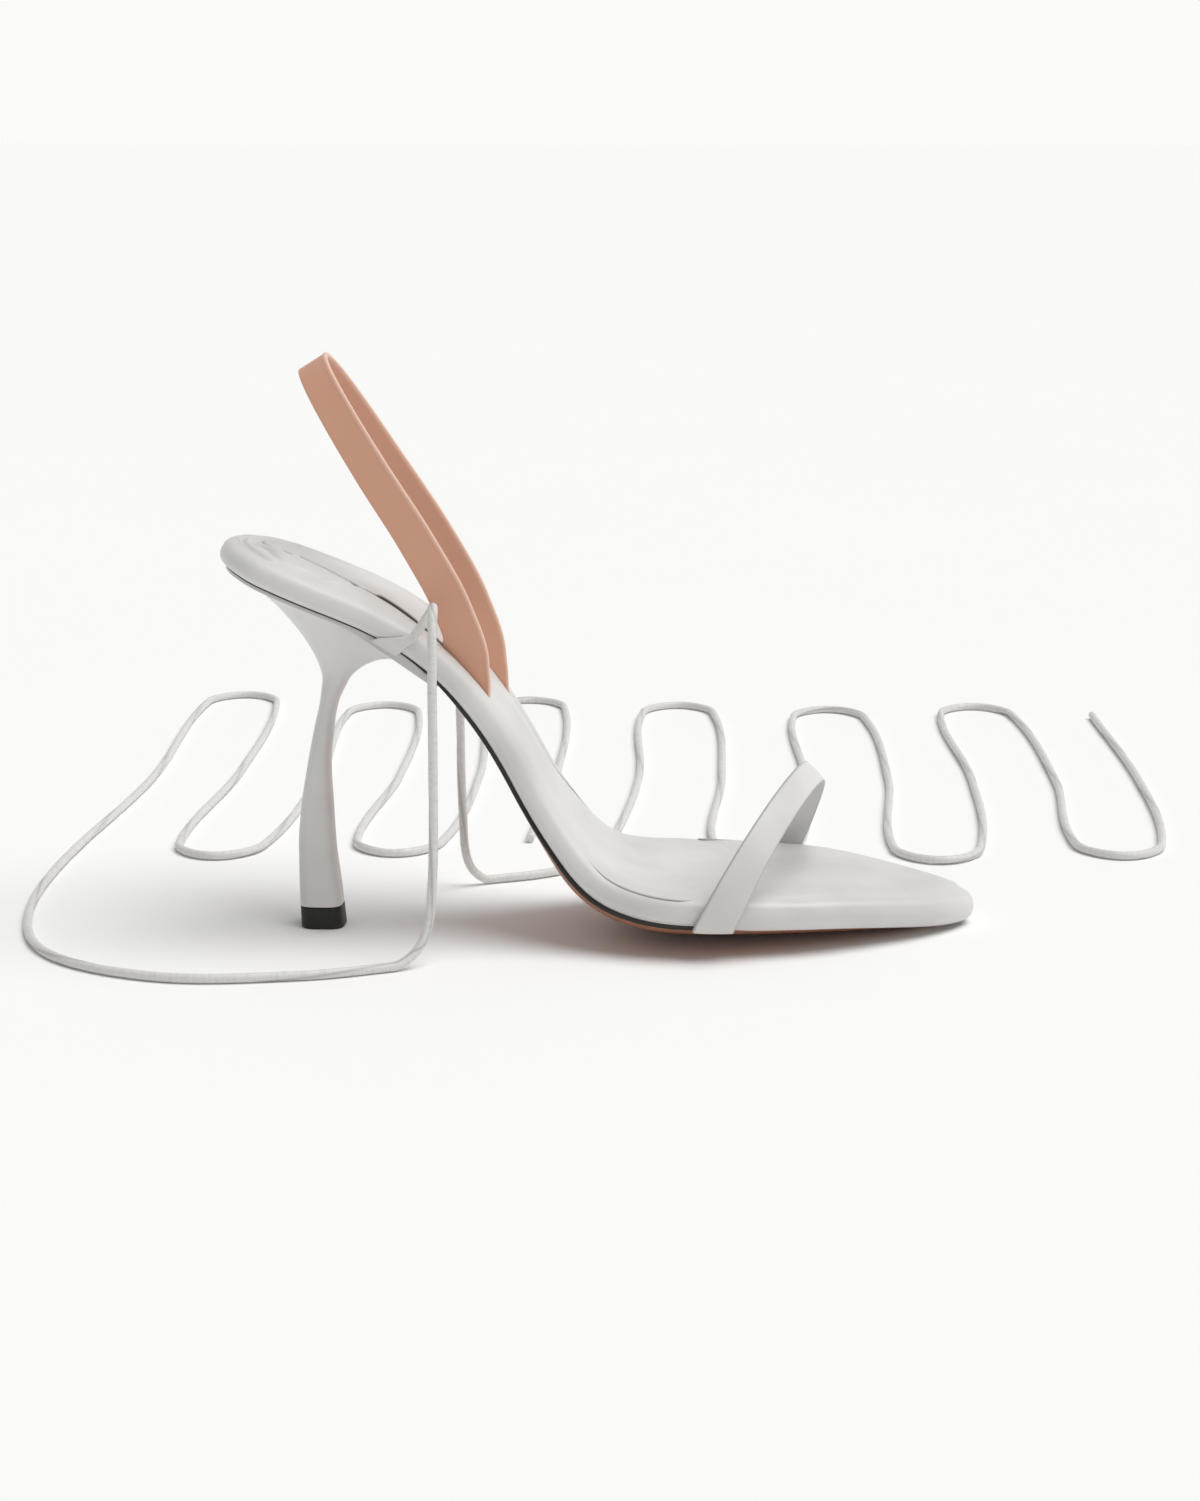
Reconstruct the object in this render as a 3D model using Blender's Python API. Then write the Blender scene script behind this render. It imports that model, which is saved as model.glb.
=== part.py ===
"""Ankle-tie sandal, right foot: a padded footbed on a thin sole, a sculpted high heel, a toe strap,
an elastic heel sling and two long leather ties that lie untied on the floor.

Metres, +X to the toe, +Y to the inner (medial) side, +Z up, floor at Z = 0, origin under the shoe's middle.
The footbed is drawn flat, as a pattern: along it from the heel back, across it towards the inner side, and
height above its underside. It is then cupped across the ball and bent along the side profile of the last.
"""

from collections import namedtuple

import bmesh
import bpy
import numpy as np

MM = 0.001
GAP = 0.3 * MM

# Driving dimensions
FOOTBED_LENGTH = 250 * MM
BALL_WIDTH = 74 * MM
RIM_HEIGHT = 7.0 * MM
SOCK_THICKNESS = 0.9 * MM
OUTSOLE_INSET = 2.2 * MM
OUTSOLE_EDGE = 1.5 * MM
OUTSOLE_DOME = 1.4 * MM
FLAT_SPOT_DEPTH = 0.7 * MM
HEEL_TIP_HEIGHT = 6.0 * MM
STRAP_THICKNESS = 1.6 * MM
SLING_THICKNESS = 1.3 * MM
TIE_DIAMETER = 2.5 * MM

# Side profile of the last: slope of the footbed, falling towards the toe, in degrees
ProfileRow = namedtuple("ProfileRow", "along slope")
PROFILE = [
    ProfileRow(0 * MM, 20),
    ProfileRow(35 * MM, 22),
    ProfileRow(56 * MM, 34),
    ProfileRow(80 * MM, 52),
    ProfileRow(105 * MM, 62),
    ProfileRow(128 * MM, 60),
    ProfileRow(152 * MM, 22),
    ProfileRow(170 * MM, 2),
    ProfileRow(195 * MM, 1),
    ProfileRow(250 * MM, 1),
]

# How far the sides of the footbed are cupped up above its middle
CupRow = namedtuple("CupRow", "along rise")
CUP = [
    CupRow(0 * MM, 0 * MM),
    CupRow(105 * MM, 0 * MM),
    CupRow(165 * MM, 6.6 * MM),
    CupRow(205 * MM, 6.0 * MM),
    CupRow(250 * MM, 0 * MM),
]

# Outline of the footbed, drawn flat: half its width as a share of the ball's half width, and how far its
# middle lies towards the inner side
OutlineRow = namedtuple("OutlineRow", "along half middle")
OUTLINE = [
    OutlineRow(0 * MM, 0.0, 0 * MM),
    OutlineRow(5 * MM, 0.40, 0 * MM),
    OutlineRow(14 * MM, 0.61, 0 * MM),
    OutlineRow(30 * MM, 0.69, 0 * MM),
    OutlineRow(60 * MM, 0.64, 0 * MM),
    OutlineRow(100 * MM, 0.575, -1 * MM),
    OutlineRow(135 * MM, 0.76, -1 * MM),
    OutlineRow(172 * MM, 1.0, 0.5 * MM),
    OutlineRow(202 * MM, 0.905, 3.5 * MM),
    OutlineRow(230 * MM, 0.575, 7 * MM),
    OutlineRow(245 * MM, 0.27, 9.5 * MM),
    OutlineRow(250 * MM, 0.0, 10.5 * MM),
]

# Edge of the footbed, from its underside round to the lip of the recess for the sock
EdgeRow = namedtuple("EdgeRow", "inset height")
FOOTBED_EDGE = [
    EdgeRow(2.2 * MM, 0.0 * MM),
    EdgeRow(0.7 * MM, 0.7 * MM),
    EdgeRow(0.0 * MM, 2.5 * MM),
    EdgeRow(0.3 * MM, 4.4 * MM),
    EdgeRow(1.4 * MM, 6.0 * MM),
    EdgeRow(3.4 * MM, RIM_HEIGHT),
]

# Width of the rim beside the sock: wide round the heel, where the sock narrows to a tongue
RimRow = namedtuple("RimRow", "along width")
RIM = [
    RimRow(0 * MM, 9.0 * MM),
    RimRow(5 * MM, 13.0 * MM),
    RimRow(14 * MM, 16.0 * MM),
    RimRow(26 * MM, 15.0 * MM),
    RimRow(35 * MM, 12.5 * MM),
    RimRow(44 * MM, 9.5 * MM),
    RimRow(54 * MM, 6.6 * MM),
    RimRow(62 * MM, 6.4 * MM),
    RimRow(96 * MM, 6.4 * MM),
    RimRow(140 * MM, 3.8 * MM),
    RimRow(250 * MM, 3.8 * MM),
]

# Crown of the padding under the wearer's heel and toes, above the rim
CrownRow = namedtuple("CrownRow", "along rise")
CROWN = [
    CrownRow(0 * MM, 0 * MM),
    CrownRow(20 * MM, 3.0 * MM),
    CrownRow(46 * MM, 3.0 * MM),
    CrownRow(64 * MM, 1.2 * MM),
    CrownRow(82 * MM, 0.1 * MM),
    CrownRow(100 * MM, 0 * MM),
    CrownRow(176 * MM, 0 * MM),
    CrownRow(204 * MM, 1.6 * MM),
    CrownRow(238 * MM, 1.6 * MM),
    CrownRow(250 * MM, 0.8 * MM),
]

# How much of the cup is filled by the padding under the forefoot, as a share of the way up to the rim
FillRow = namedtuple("FillRow", "along share")
FILL = [
    FillRow(0 * MM, 0.0),
    FillRow(100 * MM, 0.0),
    FillRow(140 * MM, 0.85),
    FillRow(250 * MM, 0.85),
]

# Sock and the recess that it lies in
SOCK_LENGTH = 186 * MM
SOCK_FRONT_ROUND = 14 * MM
SOCK_ROUND = 0.3 * MM
SOCK_GAP = 0.4 * MM
LIP_DROP = 0.6 * MM
RECESS_DRAFT = 0.1 * MM
RECESS_FLOOR = RIM_HEIGHT - LIP_DROP - SOCK_THICKNESS - SOCK_GAP

# Outsole: how far its edge lies inside the footbed's outline
SoleRow = namedtuple("SoleRow", "along inset")
SOLE = [
    SoleRow(0 * MM, OUTSOLE_INSET),
    SoleRow(160 * MM, OUTSOLE_INSET),
    SoleRow(190 * MM, 4.6 * MM),
    SoleRow(212 * MM, 7.5 * MM),
    SoleRow(250 * MM, 7.5 * MM),
]
OUTSOLE_ROUND = 0.6 * MM
DOME_START = 25 * MM

# Heel: its seat under the outsole, and the stem's sections from the floor up to the neck, with their back and
# front measured from the heel back
BREAST_ALONG = 69 * MM
HEEL_INSET = OUTSOLE_INSET + 0.3 * MM
SEAT_DROP = 2 * GAP + OUTSOLE_EDGE
SEAT_CENTRE = 36 * MM
HEEL_LIP = 0.9 * MM
NECK_HEIGHT = 69 * MM
FLARE_POWER = 1.72
BREAST_POWER = 0.17
BREAST_FILL = 0.42
LEAN_STEP = 1 * MM
FLARE_STEPS = 11
STEM_STEPS = 10
HEEL_SIDES = 36
TIP_ROUND = 0.5 * MM
StemRow = namedtuple("StemRow", "height back front half squareness")
STEM = [
    StemRow(0 * MM, 21.0 * MM, 33.1 * MM, 6.4 * MM, 3.6),
    StemRow(12 * MM, 20.6 * MM, 31.9 * MM, 6.2 * MM, 3.4),
    StemRow(23 * MM, 20.5 * MM, 30.7 * MM, 5.6 * MM, 3.0),
    StemRow(34 * MM, 21.4 * MM, 30.2 * MM, 5.0 * MM, 2.8),
    StemRow(45 * MM, 23.2 * MM, 29.8 * MM, 4.6 * MM, 2.6),
    StemRow(57 * MM, 25.6 * MM, 30.9 * MM, 4.4 * MM, 2.4),
    StemRow(63 * MM, 27.0 * MM, 32.1 * MM, 4.4 * MM, 2.3),
    StemRow(69 * MM, 27.8 * MM, 34.9 * MM, 4.6 * MM, 2.3),
]

# Toe strap: where its two edges leave the footbed's sides, how far they rise and how much they lean to the toe for
# each rise, and its path round the footbed's edge
StrapEdge = namedtuple("StrapEdge", "outer_along inner_along rise lean")
STRAP_REAR = StrapEdge(172 * MM, 190 * MM, 31 * MM, 0.518)
STRAP_FRONT = StrapEdge(183 * MM, 199.5 * MM, 25.5 * MM, 0.43)
STRAP_STEPS = 36
SideRow = namedtuple("SideRow", "out height forward")
STRAP_SIDE = [
    SideRow(-1.4 * MM, -0.9 * MM, 0.0 * MM),
    SideRow(-0.8 * MM, -0.1 * MM, 0.3 * MM),
    SideRow(0.0 * MM, 1.0 * MM, 0.8 * MM),
    SideRow(0.3 * MM, 2.4 * MM, 1.6 * MM),
    SideRow(0.4 * MM, 4.4 * MM, 2.6 * MM),
]

# Heel sling: the middle of its legs from the slots up to the bend, measured from the heel back, how far it is
# from the shoe's middle, the slope of its width, falling towards the toe, in degrees, and its width
SlingRow = namedtuple("SlingRow", "share back height spread slope width")
SLING = [
    SlingRow(0.0, 67.6 * MM, 69.2 * MM, 14.6 * MM, 54, 21.0 * MM),
    SlingRow(0.1, 68.9 * MM, 73.6 * MM, 14.8 * MM, 54, 21.0 * MM),
    SlingRow(0.22, 68.9 * MM, 80.4 * MM, 15.6 * MM, 26, 13.6 * MM),
    SlingRow(0.36, 65.3 * MM, 92.3 * MM, 16.9 * MM, -10, 10.4 * MM),
    SlingRow(0.52, 56.3 * MM, 109.3 * MM, 17.4 * MM, -27, 9.8 * MM),
    SlingRow(0.72, 44.6 * MM, 127.6 * MM, 17.4 * MM, -32, 9.5 * MM),
    SlingRow(1.0, 27.4 * MM, 155.0 * MM, 18.0 * MM, -32, 8.8 * MM),
]
SLING_MIDDLE = -1 * MM
SLING_INNER_FORWARD = 3.5 * MM
SLING_INNER_DROP = 4.5 * MM
SLING_POWER = 6
SLING_STEPS = 56

# Tabs that carry the ties, from under the footbed's edge up to the tie
TIE_ALONG = 52 * MM
TabRow = namedtuple("TabRow", "height out width thickness forward")
TIE_TAB = [
    TabRow(-0.9 * MM, -0.9 * MM, 8.0 * MM, 0.9 * MM, 0 * MM),
    TabRow(0.6 * MM, -0.3 * MM, 7.0 * MM, 0.9 * MM, 1 * MM),
    TabRow(2.5 * MM, 0.35 * MM, 4.6 * MM, 1.2 * MM, 2.6 * MM),
    TabRow(4.2 * MM, 0.4 * MM, 3.2 * MM, 1.8 * MM, 4 * MM),
    TabRow(5.6 * MM, 0.2 * MM, 2.6 * MM, 2.2 * MM, 5 * MM),
]

# Corners of a strip's section: share of its width, share of its thickness
STRIP_SECTION = [
    (0.04, 0), (0, 0.25), (0, 0.75), (0.04, 1), (0.96, 1), (1, 0.75), (1, 0.25), (0.96, 0),
]

# Ties: points of their routes in millimetres, from the tab, over the rim, down to the floor and along it
TIE_STEPS = 2
TIE_CLEAR = 0.2 * MM
TIE_LATERAL = [
    (-48.1, -25.2, 85.6), (-45.4, -25.1, 89.5), (-43.3, -27.5, 92.8), (-42.3, -32.5, 94.4), (-42, -37.5, 91),
    (-42, -40, 80), (-42, -40.5, 50), (-42.5, -41, 22), (-45, -43, 7), (-53, -48, 1),
    (-75, -57, 0), (-112, -60, 0), (-145, -40, 0), (-160, 0, 0), (-164, 60, 0), (-159, 180, 0),
    (-163, 318, 0), (-150, 332, 0), (-137, 318, 0), (-131, 190, 0), (-133, 86, 0), (-120, 72, 0),
    (-107, 86, 0), (-103, 190, 0), (-107, 300, 0), (-94, 314, 0), (-81, 300, 0), (-76, 190, 0),
    (-79, 92, 0), (-66, 78, 0), (-53, 92, 0), (-49, 190, 0), (-53, 312, 0), (-40, 326, 0), (-27, 312, 0),
    (-23, 190, 0), (-26, 98, 0),
]
TIE_MEDIAL = [
    (-48.1, 25.2, 85.6), (-45.4, 25.1, 89.5), (-43.3, 27.5, 92.8), (-42.3, 32.5, 94.4), (-42, 37.5, 91),
    (-42, 40, 80), (-42, 40.5, 50), (-41.5, 41, 22), (-40, 43, 7), (-34, 47, 1),
    (-20, 54, 0), (-8, 66, 0), (-1, 95, 0), (5, 190, 0), (3, 304, 0), (16, 318, 0), (29, 304, 0),
    (33, 190, 0), (31, 94, 0), (44, 80, 0), (57, 94, 0), (61, 190, 0), (59, 298, 0), (72, 312, 0),
    (85, 298, 0), (89, 190, 0), (86, 90, 0), (99, 76, 0), (112, 90, 0), (117, 190, 0), (114, 306, 0),
    (127, 320, 0), (140, 306, 0), (145, 190, 0), (142, 98, 0), (155, 84, 0), (168, 98, 0), (173, 190, 0),
    (170, 305, 0),
]

# Colours, linear, and shading
WHITE_LEATHER = (0.80, 0.79, 0.78)
TAN_SOLE = (0.38, 0.16, 0.10)
BLACK_RUBBER = (0.012, 0.012, 0.012)
BLUSH_ELASTIC = (0.55, 0.30, 0.22)
LEATHER_ROUGHNESS = 0.42
SOLE_ROUGHNESS = 0.6
RUBBER_ROUGHNESS = 0.55
ELASTIC_ROUGHNESS = 0.7
SHARP_ANGLE = 40

# Fineness of the meshes: stations along the footbed, steps of the profile, and where rings lie, as shares of
# the way in from an edge
STATIONS = 36
PROFILE_STEPS = 501
SPINE_END = 9 * MM
FACE_SHARES = np.array([0, 0.5, 1])
TOP_SHARES = np.array([0, 0.25, 0.5, 0.75, 1])
CREST_SHARES = np.array([0.3, 0.6, 0.85])
BELLY_SHARES = np.array([0, 0.2, 0.45, 0.7, 1])
SEAT_SHARES = np.array([1, 0.66, 0.33, 0])
MERGE = 1e-6


def column(rows, name):
    """One named column of a table, as an array."""
    return np.array([getattr(row, name) for row in rows], dtype=float)


def smooth(places, values, where):
    """Values at other places, on a cubic curve that never overshoots the given values."""
    places, values, where = (np.asarray(item, dtype=float) for item in (places, values, where))
    step = np.diff(places)
    rate = np.diff(values) / step
    tangent = np.zeros_like(values)
    tangent[0] = rate[0]
    tangent[-1] = rate[-1]
    same_way = rate[:-1] * rate[1:] > 0
    before, after = rate[:-1][same_way], rate[1:][same_way]
    weight_before = (2 * step[1:] + step[:-1])[same_way]
    weight_after = (step[1:] + 2 * step[:-1])[same_way]
    total = weight_before + weight_after
    tangent[1:-1][same_way] = total / (weight_before / before + weight_after / after)
    index = np.clip(np.searchsorted(places, where) - 1, 0, len(step) - 1)
    t = np.clip((where - places[index]) / step[index], 0, 1)
    start = values[index] * (1 + 2 * t) * (1 - t) ** 2 + values[index + 1] * t * t * (3 - 2 * t)
    slopes = tangent[index] * t * (1 - t) ** 2 - tangent[index + 1] * t * t * (1 - t)
    return start + slopes * step[index]


def spin_angle(along):
    """Angle that spreads stations closer together towards the heel back and the toe tip."""
    return np.arccos(np.clip(1 - 2 * np.asarray(along) / FOOTBED_LENGTH, -1, 1))


def half_width(along):
    """Half the footbed's width."""
    share = smooth(spin_angle(column(OUTLINE, "along")), column(OUTLINE, "half"), spin_angle(along))
    return share * BALL_WIDTH / 2


def middle(along):
    """How far the middle of the footbed lies towards the inner side."""
    return smooth(column(OUTLINE, "along"), column(OUTLINE, "middle"), along)


def cup(along, across):
    """How far the footbed is cupped up at a place: with the square of the distance from its middle."""
    rise = smooth(column(CUP, "along"), column(CUP, "rise"), along)
    width = np.maximum(half_width(along), SPINE_END)
    return rise * ((across - middle(along)) / width) ** 2


def side_profile():
    """The last's side profile on the shoe's own floor and middle: distances along it, its X, Z and slope."""
    along = np.linspace(0, FOOTBED_LENGTH, PROFILE_STEPS)
    slope = np.radians(smooth(column(PROFILE, "along"), column(PROFILE, "slope"), along))
    step = FOOTBED_LENGTH / (PROFILE_STEPS - 1)
    x = np.concatenate([[0], np.cumsum((np.cos(slope[1:]) + np.cos(slope[:-1])) / 2 * step)])
    z = np.concatenate([[0], np.cumsum(-(np.sin(slope[1:]) + np.sin(slope[:-1])) / 2 * step)])
    x -= (x[0] + x[-1]) / 2
    z += GAP + OUTSOLE_EDGE + OUTSOLE_DOME - FLAT_SPOT_DEPTH - z.min()
    return along, x, z, slope


PROFILE_ALONG, PROFILE_X, PROFILE_Z, PROFILE_SLOPE = side_profile()


def bend(flat):
    """Carry points from the flat pattern (along, across, height) onto the last, in X, Y and Z."""
    along, across, height = np.moveaxis(np.asarray(flat, dtype=float), -1, 0)
    height = height + cup(along, across)
    slope = np.interp(along, PROFILE_ALONG, PROFILE_SLOPE)
    beyond = along - np.clip(along, 0, FOOTBED_LENGTH)
    x = np.interp(along, PROFILE_ALONG, PROFILE_X) + height * np.sin(slope) + beyond * np.cos(slope)
    z = np.interp(along, PROFILE_ALONG, PROFILE_Z) + height * np.cos(slope) - beyond * np.sin(slope)
    return np.stack([x, across, z], axis=-1)


def flat_outline(inset):
    """Ring on the flat pattern, inset from the outline: heel back, outer side, toe tip, inner side.

    The inset is one distance, or one for each point of the ring.
    """
    turn = np.linspace(0, np.pi, STATIONS + 1)
    along = FOOTBED_LENGTH * (1 - np.cos(turn)) / 2
    outer = np.stack([along, middle(along) - half_width(along)], axis=1)
    inner = np.stack([along, middle(along) + half_width(along)], axis=1)
    ring = np.concatenate([outer, inner[-2:0:-1]])
    tangent = np.roll(ring, -1, axis=0) - np.roll(ring, 1, axis=0)
    tangent /= np.linalg.norm(tangent, axis=1, keepdims=True)
    inward = np.stack([-tangent[:, 1], tangent[:, 0]], axis=1)
    return ring + np.broadcast_to(inset, len(ring))[:, None] * inward


def sock_outline(further):
    """The rim's inner outline, or one further in, with all past the toe strap drawn in to the sock's front."""
    width = smooth(column(RIM, "along"), column(RIM, "width"), flat_outline(0)[:, 0])
    ring = flat_outline(width + further)
    start = SOCK_LENGTH - SOCK_FRONT_ROUND
    squeeze = SOCK_FRONT_ROUND / (ring[:, 0].max() - start)
    ring[:, 0] = np.where(ring[:, 0] > start, start + (ring[:, 0] - start) * squeeze, ring[:, 0])
    return ring


def toe_fill(ring):
    """Height that the padding under the forefoot adds to a ring of the footbed's top."""
    along = ring[:, 0]
    share = smooth(column(FILL, "along"), column(FILL, "share"), along)
    level = cup(along, middle(along) + half_width(along) - FOOTBED_EDGE[-1].inset)
    return share * np.maximum(level - cup(along, ring[:, 1]), 0)


def crown(ring):
    """Height that the padding under heel and toes adds to a ring of the footbed's top: none at the rim's crest."""
    along = ring[:, 0]
    rise = smooth(column(CROWN, "along"), column(CROWN, "rise"), along)
    width = np.maximum(half_width(along) - FOOTBED_EDGE[-1].inset, SPINE_END)
    return rise * np.maximum(1 - ((ring[:, 1] - middle(along)) / width) ** 2, 0)


def top_ring(ring, height):
    """A ring of the footbed's top, given its height and what the padding adds to it."""
    return lift(ring, height + crown(ring) + toe_fill(ring))


def to_spine(ring, share):
    """Draw a ring in towards its own middle line by a share from 0 to 1, both sides to the same points."""
    opposite = ring[-np.arange(len(ring)) % len(ring), 0]
    low = ring[:, 0].min() + SPINE_END
    high = ring[:, 0].max() - SPINE_END
    along = np.clip((ring[:, 0] + opposite) / 2, low, high)
    spine = np.stack([along, middle(along)], axis=1)
    return ring + (spine - ring) * share


def lift(ring, height):
    """Give a flat ring its height, one value or one for each point."""
    return np.column_stack([ring, np.broadcast_to(height, len(ring))])


def finish(name, mesh_data, colour, roughness):
    """Make the object from a bmesh with its own plain material, shaded smooth but for sharp edges."""
    mesh = bpy.data.meshes.new(name)
    mesh_data.to_mesh(mesh)
    mesh_data.free()
    mesh.shade_smooth()
    mesh.set_sharp_from_angle(angle=np.radians(SHARP_ANGLE))
    part = bpy.data.objects.new(name, mesh)
    bpy.context.scene.collection.objects.link(part)
    part.data.materials.append(plain_material(name, colour, roughness))
    return part


def plain_material(name, colour, roughness):
    """A Principled material with the piece's own colour."""
    material = bpy.data.materials.new(name)
    material.use_nodes = True
    shader = material.node_tree.nodes["Principled BSDF"]
    shader.inputs["Base Color"].default_value = (*colour, 1)
    shader.inputs["Roughness"].default_value = roughness
    shader.inputs["Metallic"].default_value = 0
    return material


def skin(rings, capped=False):
    """Closed mesh through rings of equal count. Rings that close on a line or a point are merged there."""
    data = bmesh.new()
    count = len(rings[0])
    verts = [[data.verts.new(point) for point in ring] for ring in rings]
    for lower, upper in zip(verts[:-1], verts[1:]):
        for i in range(count):
            j = (i + 1) % count
            data.faces.new((lower[i], lower[j], upper[j], upper[i]))
    if capped:
        data.faces.new(verts[0][::-1])
        data.faces.new(verts[-1])
    bmesh.ops.remove_doubles(data, verts=data.verts, dist=MERGE)
    bmesh.ops.dissolve_degenerate(data, edges=data.edges, dist=MERGE)
    bmesh.ops.recalc_face_normals(data, faces=data.faces)
    return data


def cut(part, cutter):
    """Take the cutter's shape out of a part."""
    boolean = part.modifiers.new("slot", "BOOLEAN")
    boolean.operation = "DIFFERENCE"
    boolean.solver = "EXACT"
    boolean.object = cutter
    cutter.hide_render = True
    cutter.display_type = "WIRE"


def make_footbed():
    """Padded board: flat underside, rounded rim, and a recess that the sock lies in."""
    bottom = flat_outline(FOOTBED_EDGE[0].inset)
    crest = flat_outline(FOOTBED_EDGE[-1].inset)
    lip = sock_outline(0)
    floor = sock_outline(RECESS_DRAFT)
    rings = [lift(to_spine(bottom, share), 0) for share in FACE_SHARES[:0:-1]]
    rings += [lift(flat_outline(row.inset), row.height) for row in FOOTBED_EDGE]
    for share in CREST_SHARES:
        ring = crest + (lip - crest) * share
        rings.append(top_ring(ring, RIM_HEIGHT - LIP_DROP * share**2))
    rings.append(top_ring(lip, RIM_HEIGHT - LIP_DROP))
    rings += [top_ring(to_spine(floor, share), RECESS_FLOOR) for share in TOP_SHARES]
    return finish("footbed", skin([bend(ring) for ring in rings]), WHITE_LEATHER, LEATHER_ROUGHNESS)


def make_sock():
    """Thin leather sock that fills the recess, level with its lip."""
    edge = sock_outline(RECESS_DRAFT + SOCK_GAP)
    top_edge = sock_outline(RECESS_DRAFT + SOCK_GAP + SOCK_ROUND)
    under = RECESS_FLOOR + SOCK_GAP
    top = under + SOCK_THICKNESS
    rings = [top_ring(to_spine(edge, share), under) for share in TOP_SHARES[::-1]]
    rings.append(top_ring(edge, top - SOCK_ROUND))
    rings += [top_ring(to_spine(top_edge, share), top) for share in TOP_SHARES]
    return finish("insole_sock", skin([bend(ring) for ring in rings]), WHITE_LEATHER, LEATHER_ROUGHNESS)


def make_outsole():
    """Thin sole under the whole footbed: flat under the heel seat, domed further on, flat on the floor."""
    inset = smooth(column(SOLE, "along"), column(SOLE, "inset"), flat_outline(0)[:, 0])
    edge = flat_outline(inset)
    low_edge = flat_outline(inset + OUTSOLE_ROUND)
    rings = [lift(to_spine(edge, share), -GAP) for share in FACE_SHARES[::-1]]
    rings.append(lift(edge, -GAP - OUTSOLE_EDGE + OUTSOLE_ROUND))
    for share in BELLY_SHARES:
        ring = to_spine(low_edge, share)
        domed = np.clip((ring[:, 0] - BREAST_ALONG) / DOME_START, 0, 1)
        dome = OUTSOLE_DOME * domed * (1 - (1 - share) ** 2)
        rings.append(lift(ring, -GAP - OUTSOLE_EDGE - dome))
    bent = [bend(ring) for ring in rings]
    for ring in bent:
        ring[:, 2] = np.maximum(ring[:, 2], 0)
    return finish("outsole", skin(bent), TAN_SOLE, SOLE_ROUGHNESS)


def oval(back, front, half, squareness, height, angles):
    """Level section of the heel's stem: a rounded rectangle between its back, its breast and its sides."""
    centre = (back + front) / 2
    reach = (front - back) / 2
    across = np.sign(np.sin(angles)) * np.abs(np.sin(angles)) ** (2 / squareness)
    ahead = np.sign(np.cos(angles)) * np.abs(np.cos(angles)) ** (2 / squareness)
    return np.column_stack([centre + reach * ahead, half * across, np.full(len(angles), height)])


def stem_section(height, angles):
    """The stem's section at a height above the floor."""
    heights = column(STEM, "height")
    back, front, half, squareness = (
        smooth(heights, column(STEM, name), height) for name in ("back", "front", "half", "squareness")
    )
    heel_back = PROFILE_X[0]
    return oval(heel_back + back, heel_back + front, half, squareness, height, angles)


def seat_outline(angles):
    """Outline of the heel's seat on the flat pattern, met by rays from the stem's axis."""
    ring = flat_outline(HEEL_INSET)
    breast_half = half_width(BREAST_ALONG) - HEEL_INSET
    beyond = ring[:, 0] > BREAST_ALONG
    ring[beyond, 0] = BREAST_ALONG
    ring[beyond, 1] = np.clip(ring[beyond, 1], -breast_half, breast_half)
    offset = ring - np.array([SEAT_CENTRE, 0])
    bearing = np.unwrap(np.arctan2(offset[:, 1], offset[:, 0]))
    order = np.argsort(np.mod(bearing, 2 * np.pi))
    bearing = np.mod(bearing, 2 * np.pi)[order]
    reach = np.linalg.norm(offset, axis=1)[order]
    reach = np.interp(angles, bearing, reach, period=2 * np.pi)
    return np.column_stack([SEAT_CENTRE + reach * np.cos(angles), reach * np.sin(angles)])


def seat_height(x):
    """Height of the heel's seat, under the outsole, at a place along the shoe."""
    under = bend(np.column_stack([PROFILE_ALONG, 0 * PROFILE_ALONG, 0 * PROFILE_ALONG - SEAT_DROP]))
    return np.interp(x, under[:, 0], under[:, 2])


def make_heel():
    """Heel: a wide seat that sweeps in to a thin neck, and a stem that curves and spreads down to its tip.

    The sweep is a superellipse that leans as the stem does at the neck, and it is filled out at the breast.
    """
    angles = np.linspace(0, 2 * np.pi, HEEL_SIDES, endpoint=False)
    seat = bend(lift(seat_outline(angles), -SEAT_DROP))
    neck = stem_section(NECK_HEIGHT, angles)
    axis = neck.mean(axis=0)
    lean = (neck - stem_section(NECK_HEIGHT - LEAN_STEP, angles))[:, 0] / LEAN_STEP
    power = FLARE_POWER + BREAST_POWER * np.cos(angles)
    fill = BREAST_FILL * np.maximum(np.cos(angles), 0) ** 2
    rings = []
    for share in SEAT_SHARES:
        ring = seat + (axis - seat) * share
        ring[:, 2] = seat_height(ring[:, 0])
        rings.append(ring)
    for turn in np.linspace(0, np.pi / 2, FLARE_STEPS + 1):
        inward = np.sin(turn) ** (2 / power)
        ring = seat + (neck - seat) * inward[:, None]
        top = seat_height(ring[:, 0]) - HEEL_LIP
        fallen = 1 - (1 - fill) * np.cos(turn) ** (2 / power)
        ring[:, 2] = top + (NECK_HEIGHT - top) * fallen
        ring[:, 0] += lean * (ring[:, 2] - NECK_HEIGHT) * inward
        rings.append(ring)
    for height in np.linspace(NECK_HEIGHT, HEEL_TIP_HEIGHT + GAP, STEM_STEPS + 1)[1:]:
        rings.append(stem_section(height, angles))
    data = skin(rings)
    bmesh.ops.holes_fill(data, edges=data.edges, sides=HEEL_SIDES)
    bmesh.ops.recalc_face_normals(data, faces=data.faces)
    return finish("heel", data, WHITE_LEATHER, LEATHER_ROUGHNESS)


def make_heel_tip():
    """Black top piece under the stem, its lower edge a little drawn in."""
    angles = np.linspace(0, 2 * np.pi, HEEL_SIDES, endpoint=False)
    rings = []
    for height, drawn_in in ((HEEL_TIP_HEIGHT, 0), (TIP_ROUND, 0), (0, TIP_ROUND)):
        ring = stem_section(height, angles)
        centre = ring.mean(axis=0)
        reach = np.linalg.norm(ring - centre, axis=1, keepdims=True)
        rings.append(ring + (centre - ring) * drawn_in / reach)
    return finish("heel_tip", skin(rings, capped=True), BLACK_RUBBER, RUBBER_ROUGHNESS)


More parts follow.
